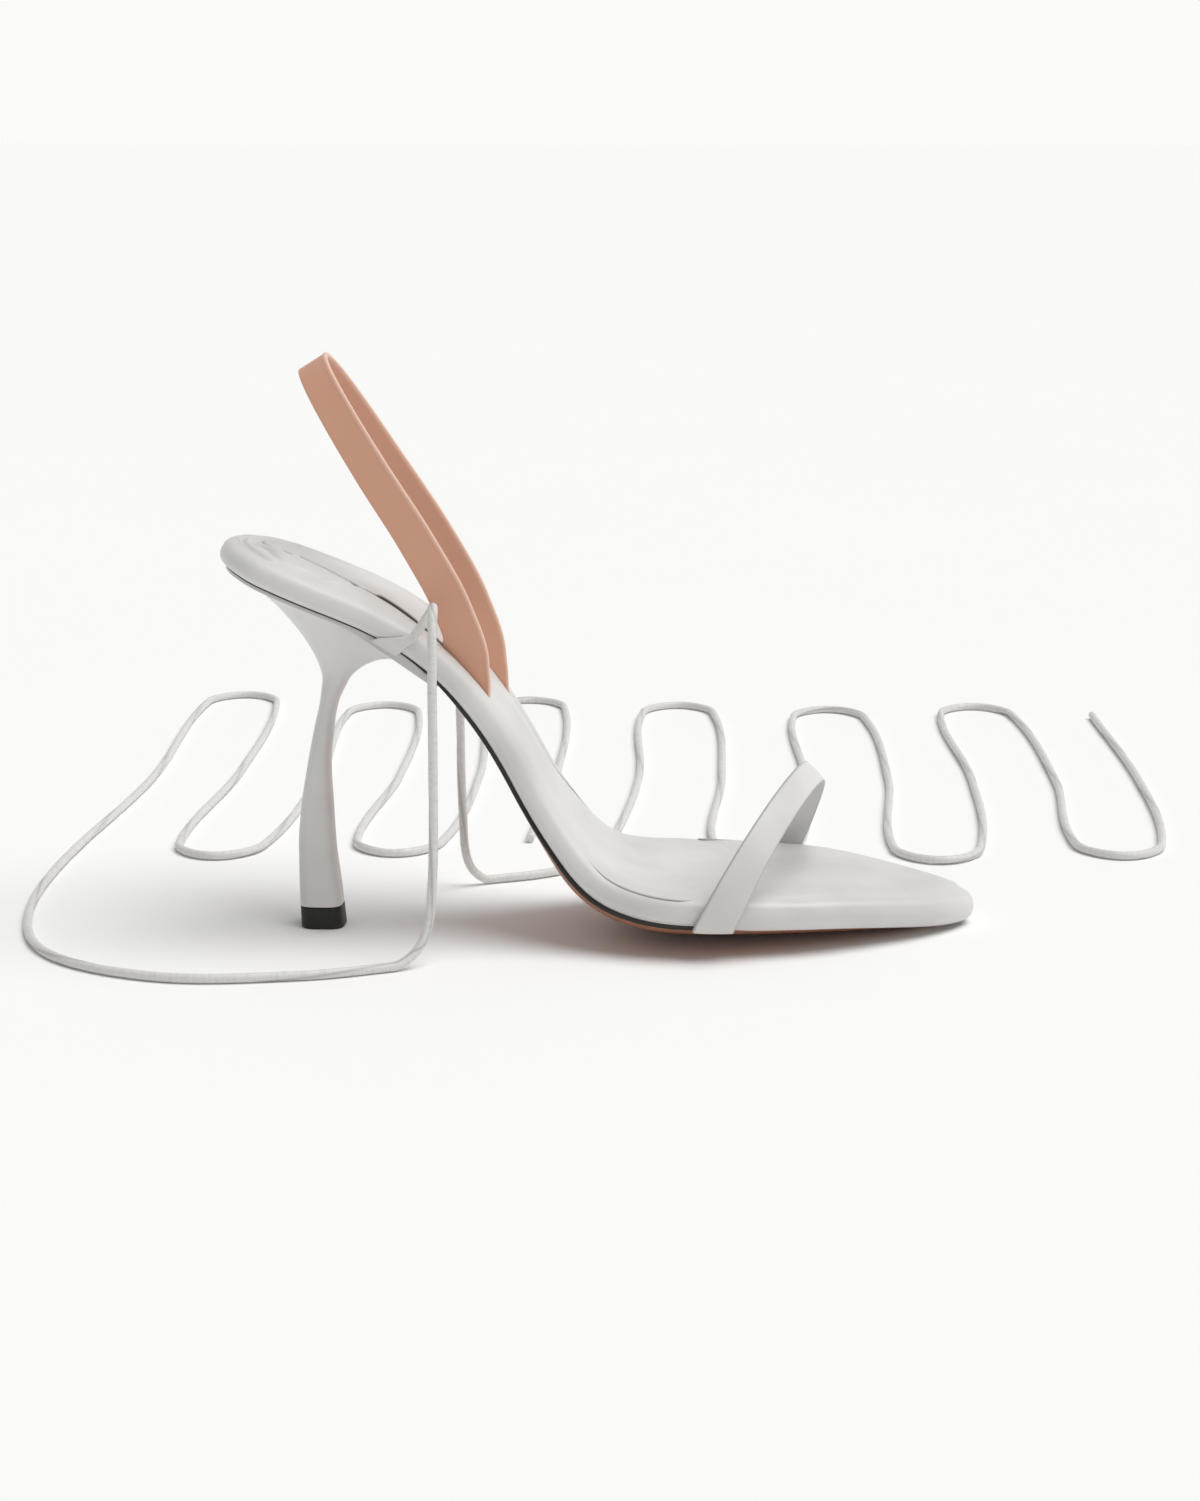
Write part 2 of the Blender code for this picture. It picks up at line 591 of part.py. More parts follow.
def unit(vectors):
    """The same directions, one long."""
    return vectors / np.linalg.norm(vectors, axis=-1, keepdims=True)


def strip(rear, front, thickness, growth=0):
    """Closed strip between two edge curves, thickened away from the foot, and grown all round by a gap."""
    tangent = unit(np.gradient((rear + front) / 2, axis=0))
    width = unit(front - rear)
    outward = unit(np.cross(width, tangent))
    lengthen = np.zeros_like(rear)
    lengthen[0] = -tangent[0] * growth
    lengthen[-1] = tangent[-1] * growth
    rear = rear - width * growth + lengthen - outward * growth
    front = front + width * growth + lengthen - outward * growth
    depth = (thickness + 2 * growth)[:, None]
    rings = [rear + (front - rear) * across + outward * out * depth for across, out in STRIP_SECTION]
    return skin(np.stack(rings, axis=1), capped=True)


def strap_edge(edge):
    """One edge of the toe strap: up the outer side, over the toes on a leaning half ellipse, down the inner side."""
    sides = []
    for sign, start in ((-1, edge.outer_along), (1, edge.inner_along)):
        along = start + column(STRAP_SIDE, "forward")
        across = middle(along) + sign * (half_width(along) + column(STRAP_SIDE, "out"))
        sides.append(bend(np.column_stack([along, across, column(STRAP_SIDE, "height")])))
    outer, inner = sides
    turn = np.linspace(0, np.pi, STRAP_STEPS + 1)[1:-1, None]
    arch = outer[-1] + (inner[-1] - outer[-1]) * (1 - np.cos(turn)) / 2
    arch += edge.rise * np.sin(turn) * np.array([edge.lean, 0, 1])
    return np.concatenate([outer, arch, inner[::-1]])


def make_toe_strap():
    """Toe strap: both ends come up round the footbed's edge, and the band slopes with the foot."""
    rear, front = strap_edge(STRAP_REAR), strap_edge(STRAP_FRONT)
    thickness = np.full(len(rear), STRAP_THICKNESS)
    return finish("toe_strap", strip(rear, front, thickness), WHITE_LEATHER, LEATHER_ROUGHNESS)


def sling_mesh(growth):
    """The sling's loop: two legs that rise from the slots and meet in a round bend, grown by a gap."""
    turn = np.linspace(0, np.pi, SLING_STEPS + 1)
    share = np.sin(turn)
    back, height, spread, slope, width = (
        smooth(column(SLING, "share"), column(SLING, name), share)
        for name in ("back", "height", "spread", "slope", "width")
    )
    inner_leg = np.where(turn > np.pi / 2, (1 - share) ** 2, 0)
    back += SLING_INNER_FORWARD * inner_leg
    height -= SLING_INNER_DROP * inner_leg
    closing = np.sign(np.cos(turn)) * np.sqrt(np.maximum(1 - share**SLING_POWER, 0))
    centre = np.column_stack([PROFILE_X[0] + back, SLING_MIDDLE - spread * closing, height])
    slope = np.radians(slope)
    to_front = np.column_stack([np.cos(slope), 0 * slope, -np.sin(slope)]) * width[:, None] / 2
    thickness = np.full(len(turn), SLING_THICKNESS)
    return strip(centre - to_front, centre + to_front, thickness, growth)


def make_sling(footbed, sock):
    """Elastic heel sling, and the slots that its ends go into beside the sock."""
    sling = finish("heel_sling", sling_mesh(0), BLUSH_ELASTIC, ELASTIC_ROUGHNESS)
    slot = finish("sling_slot", sling_mesh(GAP), BLUSH_ELASTIC, ELASTIC_ROUGHNESS)
    cut(footbed, slot)
    cut(sock, slot)
    return sling


def make_tie_tab(name, side):
    """Leather tab that comes up from under the footbed, folds round its edge and narrows into the tie."""
    rear, front = [], []
    for row in TIE_TAB:
        along = TIE_ALONG + row.forward
        across = middle(along) + side * (half_width(along) + row.out)
        rear.append((along - row.width / 2, across, row.height))
        front.append((along + row.width / 2, across, row.height))
    edges = [bend(rear), bend(front)]
    if side > 0:
        edges.reverse()
    return finish(name, strip(*edges, column(TIE_TAB, "thickness")), WHITE_LEATHER, LEATHER_ROUGHNESS)


def smooth_route(points):
    """Smooth curve through a route's points, in even steps on each stretch, never below the floor."""
    points = np.array(points) * MM
    stretch = np.diff(points, axis=0)
    length = np.linalg.norm(stretch, axis=1, keepdims=True)
    tangent = np.concatenate([stretch[:1], points[2:] - points[:-2], stretch[-1:]])
    tangent /= np.linalg.norm(tangent, axis=1, keepdims=True)
    curve = []
    for t in np.linspace(0, 1, TIE_STEPS, endpoint=False):
        bow = tangent[:-1] * t * (1 - t) ** 2 - tangent[1:] * t * t * (1 - t)
        curve.append(points[:-1] + stretch * t * t * (3 - 2 * t) + bow * length)
    curve = np.concatenate([np.stack(curve, axis=1).reshape(-1, 3), points[-1:]])
    curve[:, 2] = np.maximum(curve[:, 2], TIE_DIAMETER / 2 + TIE_CLEAR)
    return curve


def make_tie(name, points):
    """Thin leather tie, lying untied."""
    curve = bpy.data.curves.new(name, "CURVE")
    curve.dimensions = "3D"
    curve.bevel_depth = TIE_DIAMETER / 2
    curve.bevel_resolution = 2
    curve.use_fill_caps = True
    route = smooth_route(points)
    spline = curve.splines.new("POLY")
    spline.points.add(len(route) - 1)
    spline.points.foreach_set("co", np.column_stack([route, np.ones(len(route))]).ravel())
    spline.use_smooth = True
    tie = bpy.data.objects.new(name, curve)
    bpy.context.scene.collection.objects.link(tie)
    curve.materials.append(plain_material(name, WHITE_LEATHER, LEATHER_ROUGHNESS))
    return tie


def main():
    """Build the sandal in an empty scene."""
    for thing in list(bpy.data.objects):
        bpy.data.objects.remove(thing)
    make_outsole()
    footbed = make_footbed()
    sock = make_sock()
    make_heel()
    make_heel_tip()
    make_toe_strap()
    make_sling(footbed, sock)
    make_tie_tab("tie_tab_lateral", -1)
    make_tie_tab("tie_tab_medial", 1)
    make_tie("tie_lateral", TIE_LATERAL)
    make_tie("tie_medial", TIE_MEDIAL)


main()
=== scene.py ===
"""Looks of the ankle-tie sandal, right foot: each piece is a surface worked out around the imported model.

Metres, +X to the toe, +Y to the inner side, +Z up, floor at Z = 0. Footbed, sock and sole are drawn flat
(along from the heel back, across towards the inner side, height above the underside), then cupped and bent
onto the last.
"""

from collections import namedtuple

import bmesh
import bpy
import numpy as np
from bpy.props import FloatProperty, FloatVectorProperty, PointerProperty
from mathutils import Matrix


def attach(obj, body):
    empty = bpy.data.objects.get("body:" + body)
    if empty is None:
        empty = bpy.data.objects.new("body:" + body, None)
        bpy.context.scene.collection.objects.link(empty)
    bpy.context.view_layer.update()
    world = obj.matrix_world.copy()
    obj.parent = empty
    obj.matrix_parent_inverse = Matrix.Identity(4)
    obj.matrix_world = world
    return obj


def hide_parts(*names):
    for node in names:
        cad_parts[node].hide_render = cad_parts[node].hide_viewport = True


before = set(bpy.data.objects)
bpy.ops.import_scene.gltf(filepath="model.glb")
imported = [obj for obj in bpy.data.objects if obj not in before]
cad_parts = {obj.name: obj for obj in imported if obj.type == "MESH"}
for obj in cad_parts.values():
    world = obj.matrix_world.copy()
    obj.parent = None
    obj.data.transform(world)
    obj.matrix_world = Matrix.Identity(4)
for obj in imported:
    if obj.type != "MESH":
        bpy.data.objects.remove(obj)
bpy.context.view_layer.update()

bl_info = {
    "name": "Ankle-tie sandal",
    "version": (1, 0, 0),
    "blender": (4, 5, 0),
    "location": "3D View > Sidebar > Sandal",
    "description": "Makes an ankle-tie sandal with a sculpted heel, piece by piece",
    "category": "Add Mesh",
}

MM = 0.001
GAP = 0.3 * MM


def table(columns, *rows):
    """A table with named columns, each of them an array."""
    return namedtuple("Table", columns)(*np.array(rows, dtype=float).T)


# The last, in millimetres from the heel back: slope of its side profile in degrees, rise of its cupped
# sides, and its outline as a share of the ball's half width and the place of its middle
PROFILE = table(
    "along slope",
    (0, 20), (35, 22), (56, 34), (80, 52), (105, 62), (128, 60), (152, 22), (170, 2), (195, 1), (250, 1),
)
CUP = table("along rise", (0, 0), (105, 0), (165, 6.6), (205, 6.0), (250, 0))
OUTLINE = table(
    "along half middle",
    (0, 0, 0), (5, 0.40, 0), (14, 0.61, 0), (30, 0.69, 0), (60, 0.64, 0), (100, 0.575, -1), (135, 0.76, -1),
    (172, 1.0, 0.5), (202, 0.905, 3.5), (230, 0.575, 7), (245, 0.27, 9.5), (250, 0, 10.5),
)

# Footbed, in millimetres: section of its edge, width of the rim beside the sock, crown of the padding
# under heel and toes, how much of the cup the forefoot's padding fills, and the drop of the toe's soft
# shoulder
FOOTBED_EDGE = table("inset height", (2.2, 0), (0.7, 0.7), (0, 2.5), (0.3, 4.4), (1.4, 6.0), (3.4, 7.0))
RIM = table(
    "along width",
    (0, 9), (5, 13.5), (14, 17), (26, 16.6), (35, 14.4), (44, 11.6), (52, 9.8), (60, 8.8), (68, 7.4),
    (80, 6.4), (100, 5.6), (140, 1.3), (167, 1.3), (179, 3.4), (250, 3.4),
)
CROWN = table(
    "along rise",
    (0, 0), (20, 3), (46, 3), (64, 1.2), (82, 0.1), (100, 0), (176, 0), (204, 1.6), (238, 1.6), (250, 0.8),
)
FILL = table("along share", (0, 0), (100, 0), (140, 0.85), (250, 0.85))
SHOULDER = table("along drop", (0, 0), (180, 0), (200, 0.7), (250, 0.7))
SHOULDER_WIDTH = 3.5 * MM

# Groove between rim and sock, in millimetres: its width, how far rim and sock round off into it, how much
# painted shade it holds, and the share of all three that is left on the inner side. The painted shade is a
# darker colour that stands in for the shade deep in the groove and its slits.
GROOVE = table(
    "along width round dark inner",
    (0, 0.15, 1.0, 0.3, 1), (24, 0.2, 1.1, 0.5, 1), (38, 0.3, 1.0, 0.6, 1), (44, 0.5, 0.7, 0.7, 1),
    (46, 2.4, 0.5, 1, 1), (56, 2.4, 0.5, 1, 1), (57.5, 0.6, 0.5, 0.7, 1), (59, 2.2, 0.5, 1, 1),
    (65, 2.2, 0.5, 1, 1), (68, 0.5, 0.5, 0.7, 0.4), (84, 0.25, 0.35, 0.4, 0.05),
    (110, 0.25, 0.4, 0.4, 0.05), (130, 0.4, 0.5, 0.35, 0.05), (167, 0.4, 0.5, 0.35, 0.05),
    (178, 0.05, 0.1, 0, 0.1), (250, 0.03, 0.05, 0, 0.1),
)

# How far the sock's padding stands up behind its edge, in millimetres, and how soon it gets there
PUFF = table("along rise", (0, 0.35), (90, 0.35), (125, 0.9), (160, 0.9), (186, 0.1))
PUFF_REACH = 2 * MM

# Soft creases of the wrapped leather, placed on the flat pattern: middle, length, turn in degrees
# from the length of the shoe, sideways bow, width and depth, all in millimetres but the turn. A negative
# depth is a ridge.
CREASES = table(
    "along across length turn bow width depth",
    (12.3, -9.7, 22, -54, 0.7, 0.8, 1.30),
    (10.0, -7.5, 10, -43, -0.6, 0.75, 1.10),
    (14.9, -8.2, 16, -50, 0.5, 1.2, -0.55),
    (27.5, -17.2, 13, 18, -0.6, 0.65, 0.90),
    (35.2, -13.6, 16, 26, 0.6, 0.65, 0.90),
    (33.5, -16.8, 13, 24, 0.4, 1.2, -0.40),
    (45.0, -15.6, 9, -12, 0.4, 0.7, 0.18),
    (12.0, 11.5, 13, 50, -1.0, 0.6, 0.45),
    (21.0, 18.0, 12, 18, -0.6, 0.6, 0.30),
    (36.0, 17.0, 15, -20, 0.7, 0.6, 0.30),
    (5.5, 2.0, 8, 80, 0.5, 0.6, 0.35),
    (47.0, 3.0, 12, 62, 1.0, 1.4, 0.12),
    (142.0, -10.0, 26, 84, 1.5, 2.6, 0.20),
    (149.0, 9.0, 22, 96, -1.2, 2.4, 0.18),
    (137.0, 14.0, 16, 82, 0.8, 2.0, 0.12),
)

# A soft channel in the heel's rim, beside its crest: how far inside the outline, and how deep, in
# millimetres
CHANNEL = table(
    "along inset depth",
    (0, 4.5, 1.1), (8, 4.8, 1.2), (11, 5.0, 1.2), (17, 6.3, 1.0), (24, 8.0, 0.6), (34, 10, 0), (250, 10, 0),
)
CHANNEL_WIDTH = 0.8 * MM

# A skirt of the wrapped leather that hides the sole's edge in front of the toe strap, in millimetres
SKIRT = table("along drop", (0, 0), (172, 0), (190, 1.3), (250, 1.3))
SKIRT_BACK = 1.5 * MM

# Sock, recess and outsole
SOCK_LENGTH = 186 * MM
SOCK_FRONT_ROUND = 14 * MM
LIP_DROP = 0.6 * MM
LIP_FALL = 2 * MM
RECESS_GAP = 0.4 * MM
RECESS_DRAFT = 0.1 * MM
SOLE = table("along inset", (0, 2.2), (160, 2.2), (190, 4.6), (212, 7.5), (250, 7.5))
SOLE_PAINT = table("along share", (0, 1), (168, 1), (184, 0), (250, 0))
SOLE_EDGE = table("along share", (0, 0.15), (52, 0.15), (84, 0.8), (140, 0.8), (172, 0.6), (250, 0.6))
SOLE_GAP = 0.12 * MM
OUTSOLE_DOME = 1.4 * MM
OUTSOLE_ROUND = 0.6 * MM
FLAT_SPOT_DEPTH = 0.7 * MM
DOME_START = 25 * MM

# Heel: its seat under the outsole, and the stem's sections from the floor up, in millimetres from the
# heel back
BREAST_ALONG = 69 * MM
HEEL_INSET = 2.5 * MM
SEAT_CENTRE = 36 * MM
HEEL_LIP = 0.9 * MM
SEAT_GAP = 0.1 * MM
NECK_HEIGHT = 69 * MM
FLARE_POWER = 1.72
BREAST_POWER = 0.17
BREAST_FILL = 0.42
LEAN_STEP = 1 * MM
TIP_ROUND = 0.5 * MM
STEM = table(
    "height back front half squareness",
    (0, 21.0, 33.1, 6.4, 3.6), (12, 20.6, 31.9, 6.2, 3.4), (23, 20.5, 30.7, 5.6, 3.0),
    (34, 21.4, 30.2, 5.0, 2.8), (45, 23.2, 29.8, 4.6, 2.6), (57, 25.6, 30.9, 4.4, 2.4),
    (63, 27.0, 32.1, 4.4, 2.3), (69, 27.8, 34.9, 4.6, 2.3),
)

# Toe strap: where its two edges leave the footbed's sides, how far they rise and how much they lean to
# the toe for each rise, and its path round the footbed's edge in millimetres
StrapEdge = namedtuple("StrapEdge", "outer_along inner_along rise lean")
STRAP_REAR = StrapEdge(172 * MM, 190 * MM, 31 * MM, 0.518)
STRAP_FRONT = StrapEdge(183 * MM, 199.5 * MM, 25.5 * MM, 0.43)
STRAP_SIDE = table(
    "out height forward",
    (-1.4, -0.9, 0), (-0.8, -0.1, 0.3), (0, 1.0, 0.8), (0.3, 2.4, 1.6), (0.4, 4.4, 2.6),
)
STRAP_ROUND = 0.55 * MM
STRAP_CROWN = 0.18 * MM

# Heel sling: middle of its legs from the slots up to the bend, in millimetres from the heel back,
# distance from the shoe's middle, slope of its width in degrees, and its width
SLING = table(
    "share back height spread slope width",
    (0.0, 67.6, 69.2, 14.6, 54, 21.0), (0.1, 68.9, 73.6, 14.8, 54, 21.0),
    (0.22, 68.9, 80.4, 15.6, 26, 13.6), (0.36, 65.3, 92.3, 16.9, -10, 10.4),
    (0.52, 56.3, 109.3, 17.4, -27, 9.8), (0.72, 44.6, 127.6, 17.4, -32, 9.5),
    (1.0, 27.4, 155.0, 18.0, -32, 8.8),
)
SLING_MIDDLE = -1 * MM
SLING_INNER_FORWARD = 3.5 * MM
SLING_INNER_DROP = 4.5 * MM
SLING_POWER = 6
SLING_ROUND = 0.4 * MM
SLING_BEAD_WIDTH = 0.9 * MM
SLING_BEAD_RISE = 0.22 * MM

# Tabs that carry the ties, from under the footbed's edge up to the tie, in millimetres
TIE_ALONG = 52 * MM
TIE_TAB = table(
    "height out width thickness forward",
    (-0.9, -0.9, 8.0, 0.9, 0), (0.6, -0.3, 7.0, 0.9, 1), (2.5, 0.35, 4.6, 1.2, 2.6),
    (4.2, 0.4, 3.2, 1.8, 4), (5.6, 0.2, 2.6, 2.2, 5),
)

# Ties: their seam, and their routes in millimetres. Both drop from the tab over the rim, mirrored, then
# each lies on the floor: points up to its bends, the tip of each bend with the place of the run that
# follows, and its end
TIE_CLEAR = 0.2 * MM
TIE_SEAM_DEPTH = 0.16
TIE_SEAM_WIDTH = 0.30
TIE_TWIST = 90 * MM
TIE_DROP = [
    (-48.1, 25.2, 85.6), (-45.4, 25.1, 89.5), (-43.3, 27.5, 92.8), (-42.3, 32.5, 94.4), (-42, 37.5, 91),
    (-42, 40, 80), (-42, 40.5, 50),
]
BEND_WIDTH = 13
BEND_DEPTH = 14
BEND_MIDDLE = 190
TieRoute = namedtuple("TieRoute", "side lay bends end")
TIES = {
    "lateral": TieRoute(
        side=-1,
        lay=[
            (-42.5, -41, 22), (-45, -43, 7), (-53, -48, 1), (-75, -57, 0), (-112, -60, 0), (-145, -40, 0),
            (-160, 0, 0), (-164, 60, 0), (-159, 180, 0),
        ],
        bends=[(-150, 332, -131), (-120, 72, -103), (-94, 314, -76), (-66, 78, -49), (-40, 326, -23)],
        end=(-26, 98, 0),
    ),
    "medial": TieRoute(
        side=1,
        lay=[
            (-41.5, 41, 22), (-40, 43, 7), (-34, 47, 1), (-20, 54, 0), (-8, 66, 0), (-1, 95, 0),
            (5, 190, 0),
        ],
        bends=[
            (16, 318, 33), (44, 80, 61), (72, 312, 89), (99, 76, 117), (127, 320, 145), (155, 84, 173),
        ],
        end=(170, 305, 0),
    ),
}

# Camera: the frame's shape in pixels, the sensor in millimetres, and where it looks
FRAME_WIDTH, FRAME_HEIGHT = 1200, 1501
SENSOR = 36
TARGET = np.array([0, 0, 0.05])

# Fineness of the meshes: stations along the footbed's sides, and rows of each surface
STATIONS = 400
PROFILE_STEPS = 1001
SPINE_END = 9 * MM
EDGE_ROWS = 20
RIM_ROWS = 34
ROUND_ROWS = 6
UNDER_ROWS = 7
SOCK_ROWS = 30
BELLY_ROWS = 16
HEEL_SIDES = 128
FLARE_ROWS = 44
STEM_ROWS = 40
STRAP_SIDE_ROWS = 18
STRAP_ROWS = 120
SLING_ROWS = 200
TAB_ROWS = 28
CORNER_POINTS = 5
FACE_POINTS = 22
TIE_STEPS = 10
TIE_SIDES = 18
SHARP_ANGLE = 38
MERGE = 1e-6

# Small roundings and marks
SOCK_ROUND_SHARE = 0.7
SEAT_BEVEL = 0.008
TOP_EDGE = 0.25 * MM
TAB_ROUND = 1.0 * MM
EDGE_SHOWS = 0.4 * MM
FLAT_TOP = 4

# Studio
FLOOR_REACH = 20
KEY_TURN = (np.radians(5), np.radians(24), 0)

# Materials: light bent by leather, the elastic's ribs, radians that a Wave texture turns in one unit, and
# the sockets of a colour Mix node
LEATHER_IOR = 1.48
RIB_PITCH = 0.8 * MM
WAVE_RATE = 20
MIX_A, MIX_B, MIX_COLOUR = 6, 7, 2


def linear(code):
    """Linear red, green and blue of an sRGB hex colour."""
    srgb = np.array([int(code[i:i + 2], 16) for i in (1, 3, 5)]) / 255
    return tuple(np.where(srgb > 0.04045, ((srgb + 0.055) / 1.055) ** 2.4, srgb / 12.92))


def number_property(name, default, description, **kind):
    """A number that a user may change."""
    return FloatProperty(name=name, description=description, default=default, **kind)


def length_property(name, default, description):
    """A length that a user may change."""
    return number_property(name, default, description, min=0, unit="LENGTH", precision=4)


def strength_property(name, default, description):
    """The strength of a light, which a user may change."""
    return number_property(name, default, description, min=0)


def angle_property(name, degrees, description):
    """An angle that a user may change."""
    return number_property(name, np.radians(degrees), description, subtype="ANGLE")


def colour_property(name, code, description):
    """A colour that a user may change."""
    return FloatVectorProperty(
        name=name, description=description, default=linear(code), min=0, max=1, subtype="COLOR"
    )


class SandalSizes(bpy.types.PropertyGroup):
    """Driving dimensions of the sandal."""

    footbed_length: length_property("Footbed length", 250 * MM, "Length along the footbed, drawn flat")
    ball_width: length_property("Ball width", 74 * MM, "Width of the footbed at the ball of the foot")
    rim_height: length_property("Rim height", 7 * MM, "Height of the rim above the footbed's underside")
    sock_thickness: length_property("Sock thickness", 0.9 * MM, "Thickness of the leather sock")
    outsole_edge: length_property("Outsole edge", 1.5 * MM, "Thickness of the outsole at its edge")
    heel_tip_height: length_property("Heel tip height", 6 * MM, "Height of the black top piece")
    strap_thickness: length_property("Strap thickness", 1.6 * MM, "Thickness of the toe strap")
    sling_thickness: length_property("Sling thickness", 1.3 * MM, "Thickness of the elastic sling")
    tie_diameter: length_property("Tie diameter", 2.5 * MM, "Diameter of the leather ties")


class SandalColours(bpy.types.PropertyGroup):
    """Colours of the sandal's leathers, elastic and rubber."""

    leather: colour_property("White leather", "#DDDCDA", "Footbed, sock, strap, heel and ties")
    leather_shade: colour_property("Leather shade", "#CECCC9", "Darker patches of the white leather")
    # Cut edges of the strap and seams of the ties: greyer leather; on the strap's edges also painted shade
    leather_edge_and_shade: colour_property("Leather edge", "#B9B6B2", "Cut edges and seams of the white leather")
    painted_groove_shade: colour_property("Leather seam", "#7A736B", "Depth of the grooves beside the sock")
    # Painted shade: a darker colour laid deep in the grooves and slits beside the sock, where shade falls
    edge_paint: colour_property("Edge paint", "#15130F", "Painted edge of the outsole")
    sole: colour_property("Sole leather", "#B07A5F", "Underside of the outsole")
    sole_scuff: colour_property("Sole scuff", "#8C5C46", "Rubbed and darker fibres of the sole leather")
    elastic: colour_property("Elastic", "#DAA58B", "Broad faces of the sling")
    elastic_rib: colour_property("Elastic rib", "#CB957D", "Valleys between the sling's ribs")
    elastic_bead: colour_property("Elastic bead", "#EBC3AE", "Woven front edge of the sling")
    rubber: colour_property("Rubber", "#121110", "Top piece of the heel")
    rubber_dust: colour_property("Rubber dust", "#262524", "Paler specks in the rubber")
    floor: colour_property("Floor", "#FBFBFA", "Studio floor")
    backdrop: colour_property("Backdrop", "#FBFBFA", "Light round the horizon")


class SandalStage(bpy.types.PropertyGroup):
    """Camera and lights."""

    azimuth: angle_property("Azimuth", 2.5, "Turn of the camera round the shoe")
    elevation: angle_property("Elevation", 11.8, "Tilt of the camera above the shoe")
    distance: length_property("Distance", 0.84, "From the camera to the middle of the picture")
    framed_width: length_property("Framed width", 0.329, "Width of the picture at the shoe")
    key_strength: strength_property("Key light", 2.2, "Strength of the key light")
    key_softness: angle_property("Key softness", 50, "Angle that the key light spans")
    sky_strength: strength_property("Sky", 0.52, "Strength of the light overhead")
    horizon_strength: strength_property("Horizon", 1.0, "Strength of the backdrop")
    front_strength: strength_property("Front", 0.58, "Share of the light from the sides and the viewer")


def smooth(places, values, where):
    """Values at other places, on a cubic curve that never overshoots the given values."""
    places, values, where = (np.asarray(item, dtype=float) for item in (places, values, where))
    step = np.diff(places)
    rate = np.diff(values) / step
    tangent = np.zeros_like(values)
    tangent[0] = rate[0]
    tangent[-1] = rate[-1]
    same_way = rate[:-1] * rate[1:] > 0
    before, after = rate[:-1][same_way], rate[1:][same_way]
    weight_before = (2 * step[1:] + step[:-1])[same_way]
    weight_after = (step[1:] + 2 * step[:-1])[same_way]
    total = weight_before + weight_after
    tangent[1:-1][same_way] = total / (weight_before / before + weight_after / after)
    index = np.clip(np.searchsorted(places, where) - 1, 0, len(step) - 1)
    t = np.clip((where - places[index]) / step[index], 0, 1)
    start = values[index] * (1 + 2 * t) * (1 - t) ** 2 + values[index + 1] * t * t * (3 - 2 * t)
    slopes = tangent[index] * t * (1 - t) ** 2 - tangent[index + 1] * t * t * (1 - t)
    return start + slopes * step[index]


def lookup(rows, name, along):
    """A column of a table, in its own unit, at places along the footbed."""
    return smooth(rows.along * MM, getattr(rows, name), along)


def walked(route):
    """Distance along a route at each of its points."""
    return np.concatenate([[0], np.cumsum(np.linalg.norm(np.diff(route, axis=0), axis=1))])


def through(rows, names, count):
    """Columns of a table, in metres, in even steps on one smooth curve through its rows."""
    columns = np.stack([getattr(rows, name) for name in names]) * MM
    distance = walked(columns.T)
    where = np.linspace(0, distance[-1], count)
    return [smooth(distance, values, where) for values in columns]


def unit(vectors):
    """The same directions, one long."""
    return vectors / np.linalg.norm(vectors, axis=-1, keepdims=True)


def steps(count, start=0.0, end=1.0):
    """Even shares from a start to an end."""
    return np.linspace(start, end, count)


def bell(distance, width, power=2):
    """1 at no distance, falling off to 0 beyond a width, and flatter on top with a higher power."""
    return np.exp(-((distance / width) ** power))


